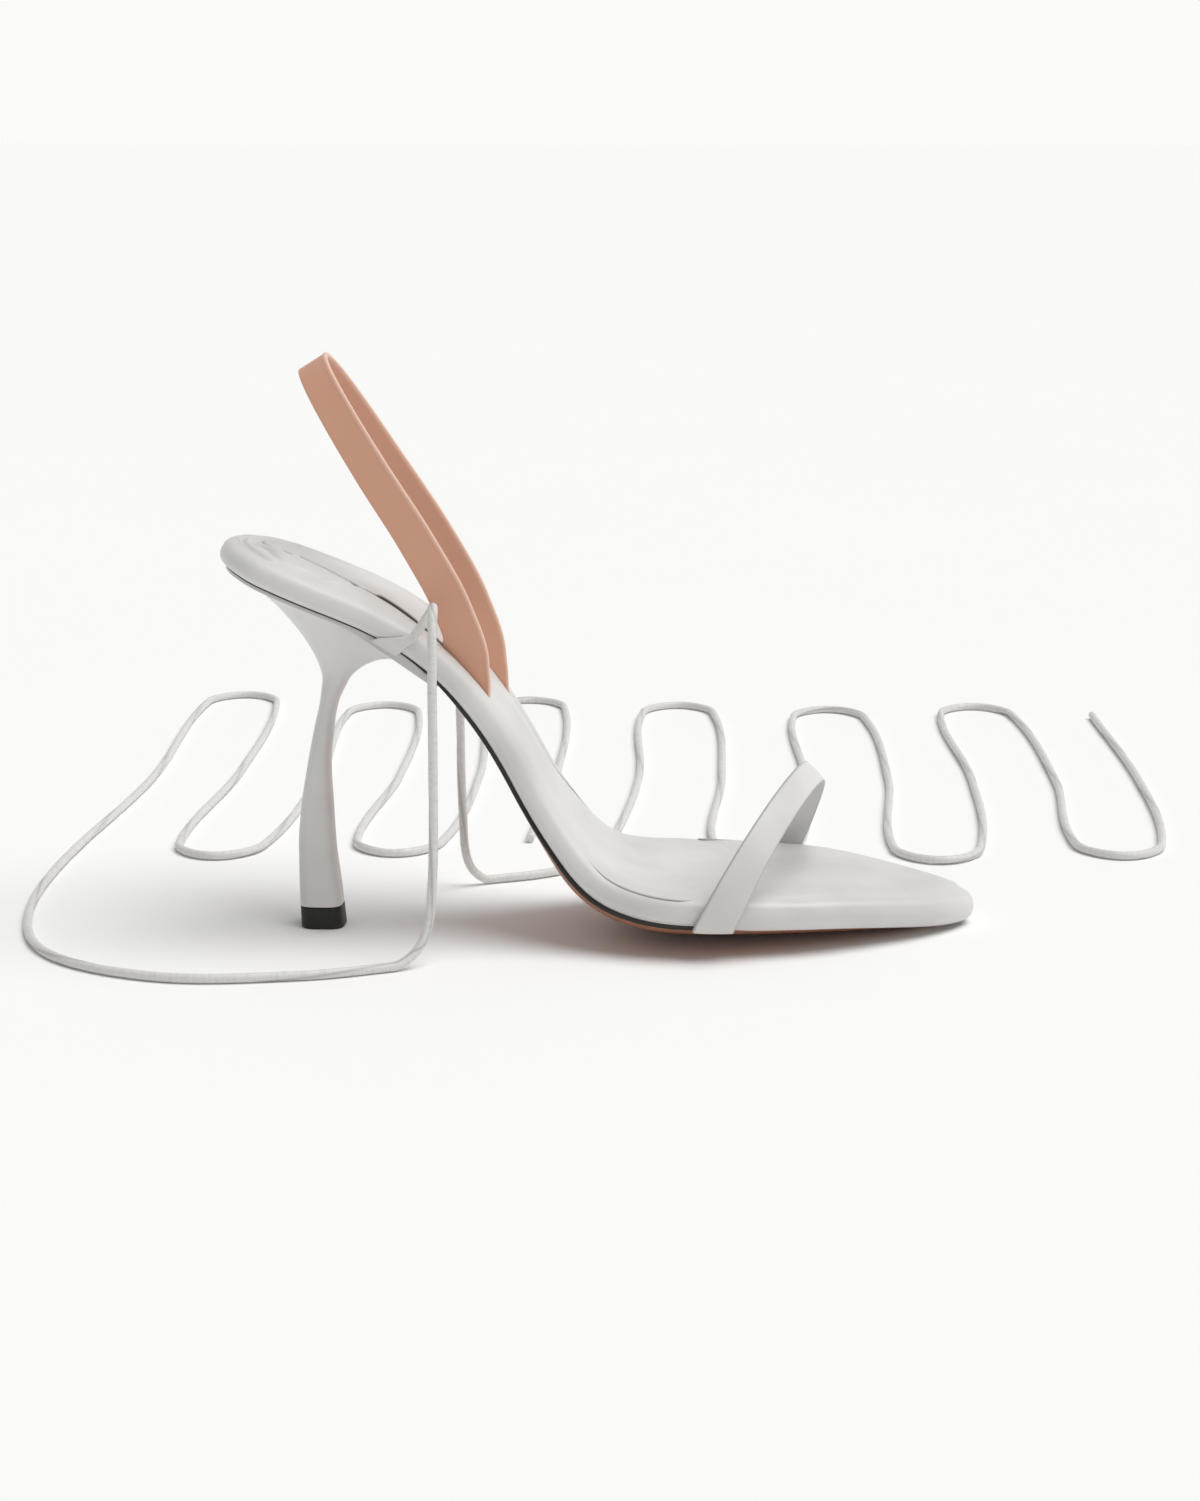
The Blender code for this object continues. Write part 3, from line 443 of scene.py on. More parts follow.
class Last:
    """The last that the sandal is built on: its side profile, outline, cup and padding."""

    def __init__(self, sizes):
        self.sizes = sizes
        self.length = sizes.footbed_length
        self.recess_floor = sizes.rim_height - LIP_DROP - sizes.sock_thickness - RECESS_GAP
        self.along = np.linspace(0, self.length, PROFILE_STEPS)
        self.slope = np.radians(lookup(PROFILE, "slope", self.along))
        step = self.length / (PROFILE_STEPS - 1)
        ahead, fall = np.cos(self.slope), np.sin(self.slope)
        x = np.concatenate([[0], np.cumsum((ahead[1:] + ahead[:-1]) / 2 * step)])
        z = np.concatenate([[0], np.cumsum(-(fall[1:] + fall[:-1]) / 2 * step)])
        self.x = x - (x[0] + x[-1]) / 2
        self.z = z - z.min() + GAP + sizes.outsole_edge + OUTSOLE_DOME - FLAT_SPOT_DEPTH

    def spin_angle(self, along):
        """Angle that spreads stations closer together towards the heel back and the toe tip."""
        return np.arccos(np.clip(1 - 2 * np.asarray(along) / self.length, -1, 1))

    def half_width(self, along):
        """Half the footbed's width."""
        share = smooth(self.spin_angle(OUTLINE.along * MM), OUTLINE.half, self.spin_angle(along))
        return share * self.sizes.ball_width / 2

    def middle(self, along):
        """How far the middle of the footbed lies towards the inner side."""
        return lookup(OUTLINE, "middle", along) * MM

    def cup(self, along, across):
        """How far the footbed is cupped up at a place: with the square of the distance from its middle."""
        width = np.maximum(self.half_width(along), SPINE_END)
        return lookup(CUP, "rise", along) * MM * ((across - self.middle(along)) / width) ** 2

    def seat_drop(self, along):
        """How far the heel's seat lies below the footbed's underside, under the thin edge of the sole."""
        return SOLE_GAP + SEAT_GAP + self.sizes.outsole_edge * lookup(SOLE_EDGE, "share", along)

    def crown(self, ring):
        """Height of the padding under heel and toes: a parabola across, none at the rim's crest."""
        along = ring[..., 0]
        width = np.maximum(self.half_width(along) - FOOTBED_EDGE.inset[-1] * MM, SPINE_END)
        share = np.maximum(1 - ((ring[..., 1] - self.middle(along)) / width) ** 2, 0)
        return lookup(CROWN, "rise", along) * MM * share

    def toe_fill(self, ring):
        """Height that the forefoot's padding adds: a share of the way up to the cup at the outline."""
        along = ring[..., 0]
        edge = self.middle(along) + self.half_width(along)
        missing = np.maximum(self.cup(along, edge) - self.cup(along, ring[..., 1]), 0)
        return lookup(FILL, "share", along) * missing

    def bend(self, flat):
        """Carry points from the flat pattern (along, across, height) onto the last, in X, Y and Z."""
        along, across, height = np.moveaxis(np.asarray(flat, dtype=float), -1, 0)
        height = height + self.cup(along, across)
        slope = np.interp(along, self.along, self.slope)
        beyond = along - np.clip(along, 0, self.length)
        x = np.interp(along, self.along, self.x) + height * np.sin(slope) + beyond * np.cos(slope)
        z = np.interp(along, self.along, self.z) + height * np.cos(slope) - beyond * np.sin(slope)
        return np.stack([x, across, z], axis=-1)

    def outline(self, inset):
        """Ring on the flat pattern, inset from the outline: heel back, outer side, toe tip, inner side."""
        turn = np.linspace(0, np.pi, STATIONS + 1)
        along = self.length * (1 - np.cos(turn)) / 2
        outer = np.stack([along, self.middle(along) - self.half_width(along)], axis=1)
        inner = np.stack([along, self.middle(along) + self.half_width(along)], axis=1)
        ring = np.concatenate([outer, inner[-2:0:-1]])
        tangent = unit(np.roll(ring, -1, axis=0) - np.roll(ring, 1, axis=0))
        inward = np.stack([-tangent[:, 1], tangent[:, 0]], axis=1)
        return ring + np.broadcast_to(inset, len(ring))[:, None] * inward

    def station(self, rows, name):
        """A column of a table, in metres, at each point of an outline ring."""
        return lookup(rows, name, self.outline(0)[:, 0]) * MM

    def groove(self, name):
        """A column of the groove's table, in metres, at each point of a ring, less on the inner side."""
        inner = np.arange(2 * STATIONS) > STATIONS
        return self.station(GROOVE, name) * np.where(inner, self.station(GROOVE, "inner") / MM, 1)

    def sock_outline(self, further):
        """The rim's inner outline, or one further in, drawn in to the sock's front past the toe strap."""
        ring = self.outline(self.station(RIM, "width") + further)
        start = SOCK_LENGTH - SOCK_FRONT_ROUND
        squeeze = SOCK_FRONT_ROUND / (ring[:, 0].max() - start)
        ring[:, 0] = np.where(ring[:, 0] > start, start + (ring[:, 0] - start) * squeeze, ring[:, 0])
        return ring

    def to_spine(self, ring, share):
        """Draw a ring in to its own middle line by a share from 0 to 1, both sides to the same points."""
        opposite = ring[-np.arange(len(ring)) % len(ring), 0]
        low = ring[:, 0].min() + SPINE_END
        high = ring[:, 0].max() - SPINE_END
        along = np.clip((ring[:, 0] + opposite) / 2, low, high)
        spine = np.stack([along, self.middle(along)], axis=1)
        return ring + (spine - ring) * share


def lift(ring, height):
    """Give a flat ring its height, one value or one for each point."""
    return np.column_stack([ring, np.broadcast_to(height, len(ring))])


def crease_relief(ring):
    """Height of the creases on the flat pattern: a bell across each bowed line, fading at its ends."""
    place = ring[..., None, :] / MM - np.stack([CREASES.along, CREASES.across], axis=-1)
    turn = np.radians(CREASES.turn)
    ahead = place[..., 0] * np.cos(turn) + place[..., 1] * np.sin(turn)
    aside = place[..., 1] * np.cos(turn) - place[..., 0] * np.sin(turn)
    reach = ahead / (CREASES.length / 2)
    fade = np.cos(np.clip(reach, -1, 1) * np.pi / 2) ** 2
    near = bell(aside - CREASES.bow * (1 - reach**2), CREASES.width)
    return -(CREASES.depth * fade * near).sum(axis=-1) * MM


def closed_mesh(name, rings, uv=None, marks=None):
    """Closed mesh through rings of equal count: quads from ring to ring, ends drawn to a line or point.

    uv holds rows x (points + 1) x 2 values and marks a named value for each point of each ring.
    """
    rings = np.asarray(rings)
    rows, count = rings.shape[:2]
    corner = np.arange(rows * count).reshape(rows, count)
    beside = np.roll(corner, -1, axis=1)
    quads = np.stack([corner[:-1], beside[:-1], beside[1:], corner[1:]], axis=-1).reshape(-1, 4)
    mesh = bpy.data.meshes.new(name)
    mesh.from_pydata(rings.reshape(-1, 3).tolist(), [], quads.tolist())
    if uv is not None:
        corners = np.stack([uv[:-1, :-1], uv[:-1, 1:], uv[1:, 1:], uv[1:, :-1]], axis=2)
        mesh.uv_layers.new(name="surface").data.foreach_set("uv", corners.astype(np.float32).ravel())
    for label, values in (marks or {}).items():
        held = mesh.attributes.new(label, "FLOAT", "POINT")
        held.data.foreach_set("value", np.broadcast_to(values, (rows, count)).astype(np.float32).ravel())
    data = bmesh.new()
    data.from_mesh(mesh)
    bmesh.ops.remove_doubles(data, verts=data.verts, dist=MERGE)
    bmesh.ops.dissolve_degenerate(data, edges=data.edges, dist=MERGE)
    bmesh.ops.recalc_face_normals(data, faces=data.faces)
    data.to_mesh(mesh)
    data.free()
    mesh.shade_smooth()
    mesh.set_sharp_from_angle(angle=np.radians(SHARP_ANGLE))
    return mesh


def show(name, data):
    """A new object in the scene, at the origin."""
    thing = bpy.data.objects.new(name, data)
    bpy.context.scene.collection.objects.link(thing)
    return thing


def place(name, mesh, material, node):
    """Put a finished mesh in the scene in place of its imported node, riding on the shoe."""
    piece = show(name, mesh)
    mesh.materials.append(material)
    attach(piece, "root")
    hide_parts(node)
    return piece


def cut_slot(piece, cutter):
    """Take the cutter's shape out of a piece for good."""
    boolean = piece.modifiers.new("slot", "BOOLEAN")
    boolean.solver = "EXACT"
    boolean.object = cutter
    depsgraph = bpy.context.evaluated_depsgraph_get()
    mesh = bpy.data.meshes.new_from_object(piece.evaluated_get(depsgraph))
    piece.modifiers.remove(boolean)
    material = piece.data.materials[0]
    piece.data = mesh
    mesh.materials.clear()
    mesh.materials.append(material)
    mesh.polygons.foreach_set("material_index", np.zeros(len(mesh.polygons), dtype=np.int32))
    mesh.set_sharp_from_angle(angle=np.radians(SHARP_ANGLE))


def feed(tree, node, inputs):
    """Set each named input of a node, or link it to a socket."""
    for name, value in inputs.items():
        if isinstance(value, bpy.types.NodeSocket):
            tree.links.new(value, node.inputs[name])
        else:
            node.inputs[name].default_value = value


def add_node(tree, kind, inputs=None, **settings):
    """Add a node with its settings, and set or link its inputs."""
    node = tree.nodes.new(kind)
    for name, value in settings.items():
        setattr(node, name, value)
    feed(tree, node, inputs or {})
    return node


def new_material(name, coordinates="Object"):
    """An empty material, its tree, its Principled shader, and where its patterns are placed."""
    material = bpy.data.materials.new(name)
    material.use_nodes = True
    tree = material.node_tree
    where = add_node(tree, "ShaderNodeTexCoord").outputs[coordinates]
    return material, tree, tree.nodes["Principled BSDF"], where


def rgba(colour):
    """A colour with full cover, or the socket that it comes from."""
    return colour if isinstance(colour, bpy.types.NodeSocket) else (*colour, 1)


def stretched(tree, where, *sizes):
    """Coordinates in which a pattern one long has these sizes along the axes."""
    scale = [1 / size for size in sizes]
    return add_node(tree, "ShaderNodeMapping", {"Vector": where, "Scale": scale}).outputs["Vector"]


def noise(tree, where, size=1.0, detail=2.0):
    """Cloudy noise with patches of about this size."""
    inputs = {"Vector": where, "Scale": 1 / size, "Detail": detail}
    return add_node(tree, "ShaderNodeTexNoise", inputs).outputs["Fac"]


def ramp(tree, value, low, high, start, end):
    """A value carried from the range low to high onto the range start to end, and held beyond it."""
    inputs = {"Value": value, "From Min": low, "From Max": high, "To Min": start, "To Max": end}
    return add_node(tree, "ShaderNodeMapRange", inputs).outputs["Result"]


def joined(tree, operation, first, second):
    """Two values joined by an operation."""
    return add_node(tree, "ShaderNodeMath", {0: first, 1: second}, operation=operation).outputs["Value"]


def blend(tree, share, first, second):
    """The first colour, giving way to the second by a share."""
    inputs = {"Factor": share, MIX_A: rgba(first), MIX_B: rgba(second)}
    return add_node(tree, "ShaderNodeMix", inputs, data_type="RGBA").outputs[MIX_COLOUR]


def mark(tree, name):
    """The mesh's own mark of this name."""
    return add_node(tree, "ShaderNodeAttribute", attribute_name=name).outputs["Fac"]


def bump(tree, height, strength, depth, under=None):
    """A fine relief, laid over another one if there is one."""
    inputs = {"Height": height, "Strength": strength, "Distance": depth}
    if under is not None:
        inputs["Normal"] = under
    return add_node(tree, "ShaderNodeBump", inputs).outputs["Normal"]


def white_leather(colours, name, edge_and_shade_colour=None):
    """Finished calf leather, smooth and satin: fine pores, faint cloudy tone, uneven soft gloss.

    The edge colour shows where the mesh's mark "edge" is 1: on cut edges, partly as painted shade along
    them, and deep in a groove, as painted shade.
    """
    material, tree, shader, where = new_material(name)
    fine = noise(tree, where, 2.2 * MM, detail=3.0)
    pores = add_node(tree, "ShaderNodeTexVoronoi", {"Vector": where, "Scale": 1 / (0.7 * MM)})
    share = ramp(tree, noise(tree, where, 28 * MM), low=0.42, high=0.68, start=0, end=0.75)
    tone = blend(tree, share, colours.leather, colours.leather_shade)
    # Painted shade, in part: the edge colour darkens the strap's cut edges and, fully as painted shade, the
    # grooves
    if edge_and_shade_colour:
        tone = blend(tree, mark(tree, "edge"), tone, edge_and_shade_colour)
    soft = bump(tree, fine, strength=0.35, depth=0.06 * MM)
    feed(tree, shader, {
        "Base Color": tone,
        "Roughness": ramp(tree, fine, low=0.3, high=0.7, start=0.40, end=0.50),
        "Normal": bump(tree, pores.outputs["Distance"], strength=0.3, depth=0.05 * MM, under=soft),
        "IOR": LEATHER_IOR,
        "Coat Weight": 0.12,
        "Coat Roughness": 0.3,
    })
    return material


def rolled_leather(colours, name):
    """Leather rolled round a core: a fine seam runs along it, and short creases cross it."""
    material, tree, shader, where = new_material(name, "UV")
    creases = noise(tree, stretched(tree, where, 1.1 * MM, 4 * MM, 1))
    share = ramp(tree, creases, low=0.45, high=0.75, start=0, end=0.8)
    tone = blend(tree, share, colours.leather, colours.leather_shade)
    feed(tree, shader, {
        "Base Color": blend(tree, mark(tree, "seam"), tone, colours.leather_edge_and_shade),
        "Roughness": ramp(tree, creases, low=0.3, high=0.7, start=0.38, end=0.52),
        "Normal": bump(tree, creases, strength=0.5, depth=0.12 * MM),
        "IOR": LEATHER_IOR,
    })
    return material


def sole_leather(colours, name):
    """Tan sole leather with a painted black edge: fibres along the shoe, scuffs, a thin glossy line."""
    material, tree, shader, where = new_material(name)
    fibres = noise(tree, stretched(tree, where, 9 * MM, 1.2 * MM, 1.2 * MM), detail=4.0)
    wear = noise(tree, where, 7 * MM, detail=5.0)
    share = ramp(tree, wear, low=0.45, high=0.75, start=0, end=0.7)
    worn = blend(tree, share, colours.sole, colours.sole_scuff)
    ragged = joined(tree, "ADD", mark(tree, "paint"), wear)
    painted = ramp(tree, ragged, low=0.95, high=1.1, start=0, end=1)
    feed(tree, shader, {
        "Base Color": blend(tree, painted, worn, colours.edge_paint),
        "Roughness": ramp(tree, painted, low=0, high=1, start=0.58, end=0.38),
        "Normal": bump(tree, fibres, strength=0.4, depth=0.08 * MM),
    })
    return material


def ribbed_elastic(colours, name):
    """Woven elastic: fine ribs along the band, matt with a little sheen, its front edge a paler bead.

    The ribs are a little coarser than the real ones, so that they show.
    """
    material, tree, shader, where = new_material(name, "UV")
    waves = {"Vector": where, "Scale": 2 * np.pi / (WAVE_RATE * RIB_PITCH), "Distortion": 0.15}
    ribs = add_node(tree, "ShaderNodeTexWave", waves, bands_direction="Y").outputs["Fac"]
    threads = noise(tree, stretched(tree, where, 0.5 * MM, RIB_PITCH, 1))
    valley = ramp(tree, ribs, low=0, high=1, start=0.5, end=0.3)
    patch = joined(tree, "MULTIPLY", valley, noise(tree, where, 18 * MM))
    tone = blend(tree, patch, colours.elastic, colours.elastic_rib)
    weave = bump(tree, threads, strength=0.5, depth=0.06 * MM)
    feed(tree, shader, {
        "Base Color": blend(tree, mark(tree, "bead"), tone, colours.elastic_bead),
        "Roughness": ramp(tree, threads, low=0.3, high=0.7, start=0.62, end=0.78),
        "Normal": bump(tree, ribs, strength=0.2, depth=0.05 * MM, under=weave),
        "Sheen Weight": 0.15,
        "Sheen Roughness": 0.4,
    })
    return material


def moulded_rubber(colours, name):
    """Moulded black rubber: matt, with fine paler specks and a slight grain."""
    material, tree, shader, where = new_material(name)
    specks = noise(tree, where, 0.9 * MM, detail=4.0)
    share = ramp(tree, specks, low=0.55, high=0.8, start=0, end=0.8)
    feed(tree, shader, {
        "Base Color": blend(tree, share, colours.rubber, colours.rubber_dust),
        "Roughness": ramp(tree, specks, low=0.3, high=0.7, start=0.45, end=0.6),
        "Normal": bump(tree, specks, strength=0.4, depth=0.05 * MM),
    })
    return material


def studio_floor(colours, name):
    """Matt painted floor, pale, with a faint unevenness of its sheen."""
    material, tree, shader, where = new_material(name)
    cloud = noise(tree, where, 300 * MM)
    feed(tree, shader, {
        "Base Color": rgba(colours.floor),
        "Roughness": ramp(tree, cloud, low=0.3, high=0.7, start=0.85, end=0.95),
        "Specular IOR Level": 0.1,
    })
    return material


def band_section(width, thickness, rounding, crown):
    """Section of a band at each station: across from its rear edge, and out from its inner face.

    A rounded rectangle: quarter circles at its corners, outer face crowned by a parabola, inner face flat.
    """
    quarter = steps(CORNER_POINTS, 0, np.pi / 2)
    face = steps(FACE_POINTS)[1:-1]
    width, thickness = width[:, None], thickness[:, None]
    rounding = np.minimum(rounding, thickness / 2)
    near, far = rounding * (1 - np.sin(quarter)), rounding * (1 - np.cos(quarter))
    flat = rounding + (width - 2 * rounding) * face
    bulge = thickness + crown * 4 * face * (1 - face)
    across = [near, far, flat, width - near, width - far, width - flat]
    out = [far, thickness - near, bulge, thickness - far, near, 0 * flat]
    return np.concatenate(across, axis=1), np.concatenate(out, axis=1)


def capped(rows, ends=None):
    """Rows of a band or cord with one more at each end, drawn to the end ring's middle if asked."""
    caps = [rows[:1], rows[-1:]]
    if ends == "middle":
        caps = [np.broadcast_to(ring.mean(axis=1, keepdims=True), ring.shape) for ring in caps]
    return np.concatenate([caps[0], rows, caps[1]])


def band_mesh(name, rear, front, thickness, rounding, crown=0.0, bead_width=0.0, bead_rise=0.0, growth=0.0):
    """Closed band between two edge curves, thickened away from the foot: a section carried along it.

    The UV map holds the distance along the band and across from its middle. The mark "edge" shows its cut
    edges, which the strap's leather makes greyer, partly as painted shade along them, and "bead" the raised
    line along its front edge. growth widens it all round, for a slot.
    """
    middle = (rear + front) / 2
    tangent = unit(np.gradient(middle, axis=0))
    sideways = unit(front - rear)
    outward = unit(np.cross(sideways, tangent))
    tangent[1:-1] = 0
    lengthen = np.concatenate([[-growth], np.zeros(len(rear) - 2), [growth]])[:, None] * tangent
    width = np.linalg.norm(front - rear, axis=1) + 2 * growth
    start = rear - sideways * growth - outward * growth + lengthen
    across, out = band_section(width, thickness + 2 * growth, rounding, crown)
    from_front = width[:, None] - across
    bead = bell(from_front, bead_width or MM, FLAT_TOP) * bool(bead_width)
    out = out + bead_rise * bead * (out > thickness[:, None] / 2)
    rings = start[:, None] + sideways[:, None] * across[..., None] + outward[:, None] * out[..., None]
    # Cut edges, marked for a greyer colour that on the strap is partly painted shade
    edge = bell(np.minimum(across, from_front), EDGE_SHOWS, FLAT_TOP)
    along = np.broadcast_to(walked(middle)[:, None], across.shape)
    surface = np.stack([along, across - width[:, None] / 2], axis=-1)
    surface = np.concatenate([surface, surface[:, :1]], axis=1)
    marks = {"edge": capped(edge), "bead": capped(bead)}
    return closed_mesh(name, capped(rings, "middle"), capped(surface), marks)


def top_ring(last, ring, height):
    """A ring of the footbed's top, given its height, its creases and what the padding adds to it."""
    return lift(ring, height + last.crown(ring) + last.toe_fill(ring) + crease_relief(ring))


def footbed_mesh(last):
    """Padded board: rings from the underside's middle line, round the edge, over the rim, into the recess.

    The rim falls with the square of the way to the sock, dips in a bell-shaped channel beside its crest,
    and rounds off into the groove by a quarter circle. The mark "edge" grows from 0 at the groove's brim
    to 1 in its depth; it is painted shade, a darker colour that stands in for the shade in the groove.
    """
    rim_height = last.sizes.rim_height
    inset, height = through(FOOTBED_EDGE, ("inset", "height"), EDGE_ROWS)
    height *= rim_height / height[-1]
    rim, rounding = last.station(RIM, "width"), last.groove("round")
    channel, channel_inset = last.station(CHANNEL, "depth"), last.station(CHANNEL, "inset")
    skirt, shoulder = last.station(SKIRT, "drop"), last.station(SHOULDER, "drop")
    upper = np.argmin(inset)
    in_front = last.outline(0)[:, 0] > SOCK_LENGTH - SOCK_FRONT_ROUND
    crest_inset = np.where(in_front, inset[-1], np.minimum(inset[-1], rim))
    crest_height = np.interp(crest_inset, inset[upper:], height[upper:])
    crest, lip = last.outline(crest_inset), last.sock_outline(0)
    lip_height = crest_height - LIP_DROP * np.clip((rim - crest_inset) / LIP_FALL, 0, 1)
    lip_height = np.where(in_front, rim_height - LIP_DROP, lip_height)
    behind = last.outline(inset[0] + SKIRT_BACK)
    rings = [lift(last.to_spine(behind, share), 0) for share in steps(UNDER_ROWS, 1, 0)]
    for inward, rise in zip(inset[:upper], height[:upper]):
        rings.append(lift(last.outline(inward), rise - skirt * (1 - rise / height[upper])))
    for share in steps(EDGE_ROWS - upper):
        inward = inset[upper] + (crest_inset - inset[upper]) * share
        sunk = shoulder * bell(crest_inset - inward, SHOULDER_WIDTH)
        ring = last.outline(inward)
        level = np.interp(inward, inset[upper:], height[upper:])
        rings.append(lift(ring, level + last.toe_fill(ring) - sunk))
    for share in steps(RIM_ROWS)[1:]:
        inward = crest_inset + (rim - crest_inset) * share
        trough = channel * bell(inward - channel_inset, CHANNEL_WIDTH)
        ring = crest + (lip - crest) * share
        sunk = shoulder * bell(np.linalg.norm(ring - crest, axis=1), SHOULDER_WIDTH)
        level = crest_height + (lip_height - crest_height) * share**2
        rings.append(top_ring(last, ring, level - trough - sunk))
    brim = len(rings) - 1
    for turn in steps(ROUND_ROWS, 0, np.pi / 2)[1:]:
        ring = last.sock_outline(rounding * np.sin(turn))
        rings.append(top_ring(last, ring, lip_height - rounding * (1 - np.cos(turn))))
    floor = last.sock_outline(rounding + RECESS_DRAFT)
    for share in steps(UNDER_ROWS):
        ring = last.to_spine(floor, share)
        rings.append(lift(ring, last.recess_floor + last.crown(ring) + last.toe_fill(ring)))
    # Painted shade: the mark "edge" darkens the groove's wall and floor, where shade falls
    depth = np.clip((np.arange(len(rings)) - brim) / (ROUND_ROWS - 1), 0, 1) ** 2
    marks = {"edge": depth[:, None] * last.groove("dark") / MM}
    return closed_mesh("padded_footbed", [last.bend(ring) for ring in rings], marks=marks)


def sock_mesh(last):
    """Thin leather sock in the recess: rings from its underside's middle line round its edge to the top's.

    Its edge is a quarter circle, and its top puffs up behind it, soon at first and then ever less. The mark
    "edge" is 1 from the underside up to the edge, and fades out over the quarter circle; it is painted
    shade, a darker colour that stands in for the shade down in the groove.
    """
    rounding = last.groove("round")
    edge_place = rounding + RECESS_DRAFT + last.groove("width")
    edge_round = np.minimum(rounding, last.sizes.sock_thickness * SOCK_ROUND_SHARE)
    edge, top_edge = last.sock_outline(edge_place), last.sock_outline(edge_place + edge_round)
    under = last.recess_floor + RECESS_GAP
    top = under + last.sizes.sock_thickness
    rings = []
    for share in steps(UNDER_ROWS, 1, 0):
        ring = last.to_spine(edge, share)
        rings.append(lift(ring, under + last.crown(ring) + last.toe_fill(ring)))
    for turn in steps(ROUND_ROWS, 0, np.pi / 2):
        ring = last.sock_outline(edge_place + edge_round * (1 - np.cos(turn)))
        rings.append(top_ring(last, ring, top - edge_round * (1 - np.sin(turn))))
    for share in steps(SOCK_ROWS)[1:]:
        ring = last.to_spine(top_edge, share**2)
        puff = 1 - np.exp(-np.linalg.norm(ring - top_edge, axis=1) / PUFF_REACH)
        rings.append(top_ring(last, ring, top + lookup(PUFF, "rise", ring[:, 0]) * MM * puff))
    # Painted shade: the mark "edge" darkens the sock's side down in the groove, where shade falls
    depth = np.clip((UNDER_ROWS + ROUND_ROWS - 1 - np.arange(len(rings))) / (ROUND_ROWS - 1), 0, 1) ** 2
    marks = {"edge": depth[:, None] * last.groove("dark") / MM}
    return closed_mesh("leather_sock", [last.bend(ring) for ring in rings], marks=marks)


def outsole_mesh(last):
    """Thin sole: flat top, straight edge rounded off below, belly domed by a parabola, flat on the floor.

    The mark "paint" is 1 on the painted edge, back to the heel from where the toe strap comes round it.
    """
    inset = last.station(SOLE, "inset")
    depth = last.sizes.outsole_edge * last.station(SOLE_EDGE, "share") / MM
    rounding = OUTSOLE_ROUND * depth / last.sizes.outsole_edge
    edge, low_edge = last.outline(inset), last.outline(inset + rounding)
    bottom = -SOLE_GAP - depth
    belly = OUTSOLE_DOME + GAP + last.sizes.outsole_edge + bottom
    rings = [lift(last.to_spine(edge, share), -SOLE_GAP) for share in steps(UNDER_ROWS, 1, 0)]
    rings += [lift(edge, -SOLE_GAP + (rounding - depth) * share) for share in steps(ROUND_ROWS)[1:]]
    for turn in steps(ROUND_ROWS, 0, np.pi / 2)[1:]:
        ring = last.outline(inset + rounding * (1 - np.cos(turn)))
        rings.append(lift(ring, bottom + rounding * (1 - np.sin(turn))))
    painted = len(rings)
    for share in steps(BELLY_ROWS)[1:]:
        ring = last.to_spine(low_edge, share)
        domed = np.clip((ring[:, 0] - BREAST_ALONG) / DOME_START, 0, 1)
        rings.append(lift(ring, bottom - belly * domed * (1 - (1 - share) ** 2)))
    bent = np.stack([last.bend(ring) for ring in rings])
    bent[..., 2] = np.maximum(bent[..., 2], 0)
    on_edge = np.arange(len(rings))[:, None] < painted
    paint = on_edge * last.station(SOLE_PAINT, "share") / MM
    return closed_mesh("leather_outsole", bent, marks={"paint": paint})


def stem_section(last, height, angles):
    """The heel's level section at a height: a superellipse between its back, breast and sides."""
    columns = (STEM.back * MM, STEM.front * MM, STEM.half * MM, STEM.squareness)
    back, front, half, squareness = (smooth(STEM.height * MM, column, height) for column in columns)
    power = 2 / squareness
    across = np.sign(np.sin(angles)) * np.abs(np.sin(angles)) ** power
    ahead = np.sign(np.cos(angles)) * np.abs(np.cos(angles)) ** power
    x = last.x[0] + (back + front) / 2 + (front - back) / 2 * ahead
    return np.column_stack([x, half * across, np.full(len(angles), height)])


def seat_outline(last, angles):
    """Outline of the heel's seat on the flat pattern, met by rays from the stem's axis."""
    ring = last.outline(HEEL_INSET)
    breast_half = last.half_width(BREAST_ALONG) - HEEL_INSET
    beyond = ring[:, 0] > BREAST_ALONG
    ring[beyond, 0] = BREAST_ALONG
    ring[beyond, 1] = np.clip(ring[beyond, 1], -breast_half, breast_half)
    offset = ring - np.array([SEAT_CENTRE, 0])
    bearing = np.mod(np.arctan2(offset[:, 1], offset[:, 0]), 2 * np.pi)
    order = np.argsort(bearing)
    reach = np.interp(angles, bearing[order], np.linalg.norm(offset, axis=1)[order], period=2 * np.pi)
    return np.column_stack([SEAT_CENTRE + reach * np.cos(angles), reach * np.sin(angles)])


def seat_height(last, x):
    """Height of the heel's seat, under the outsole, at a place along the shoe."""
    under = last.bend(np.column_stack([last.along, 0 * last.along, -last.seat_drop(last.along)]))
    return np.interp(x, under[:, 0], under[:, 2])


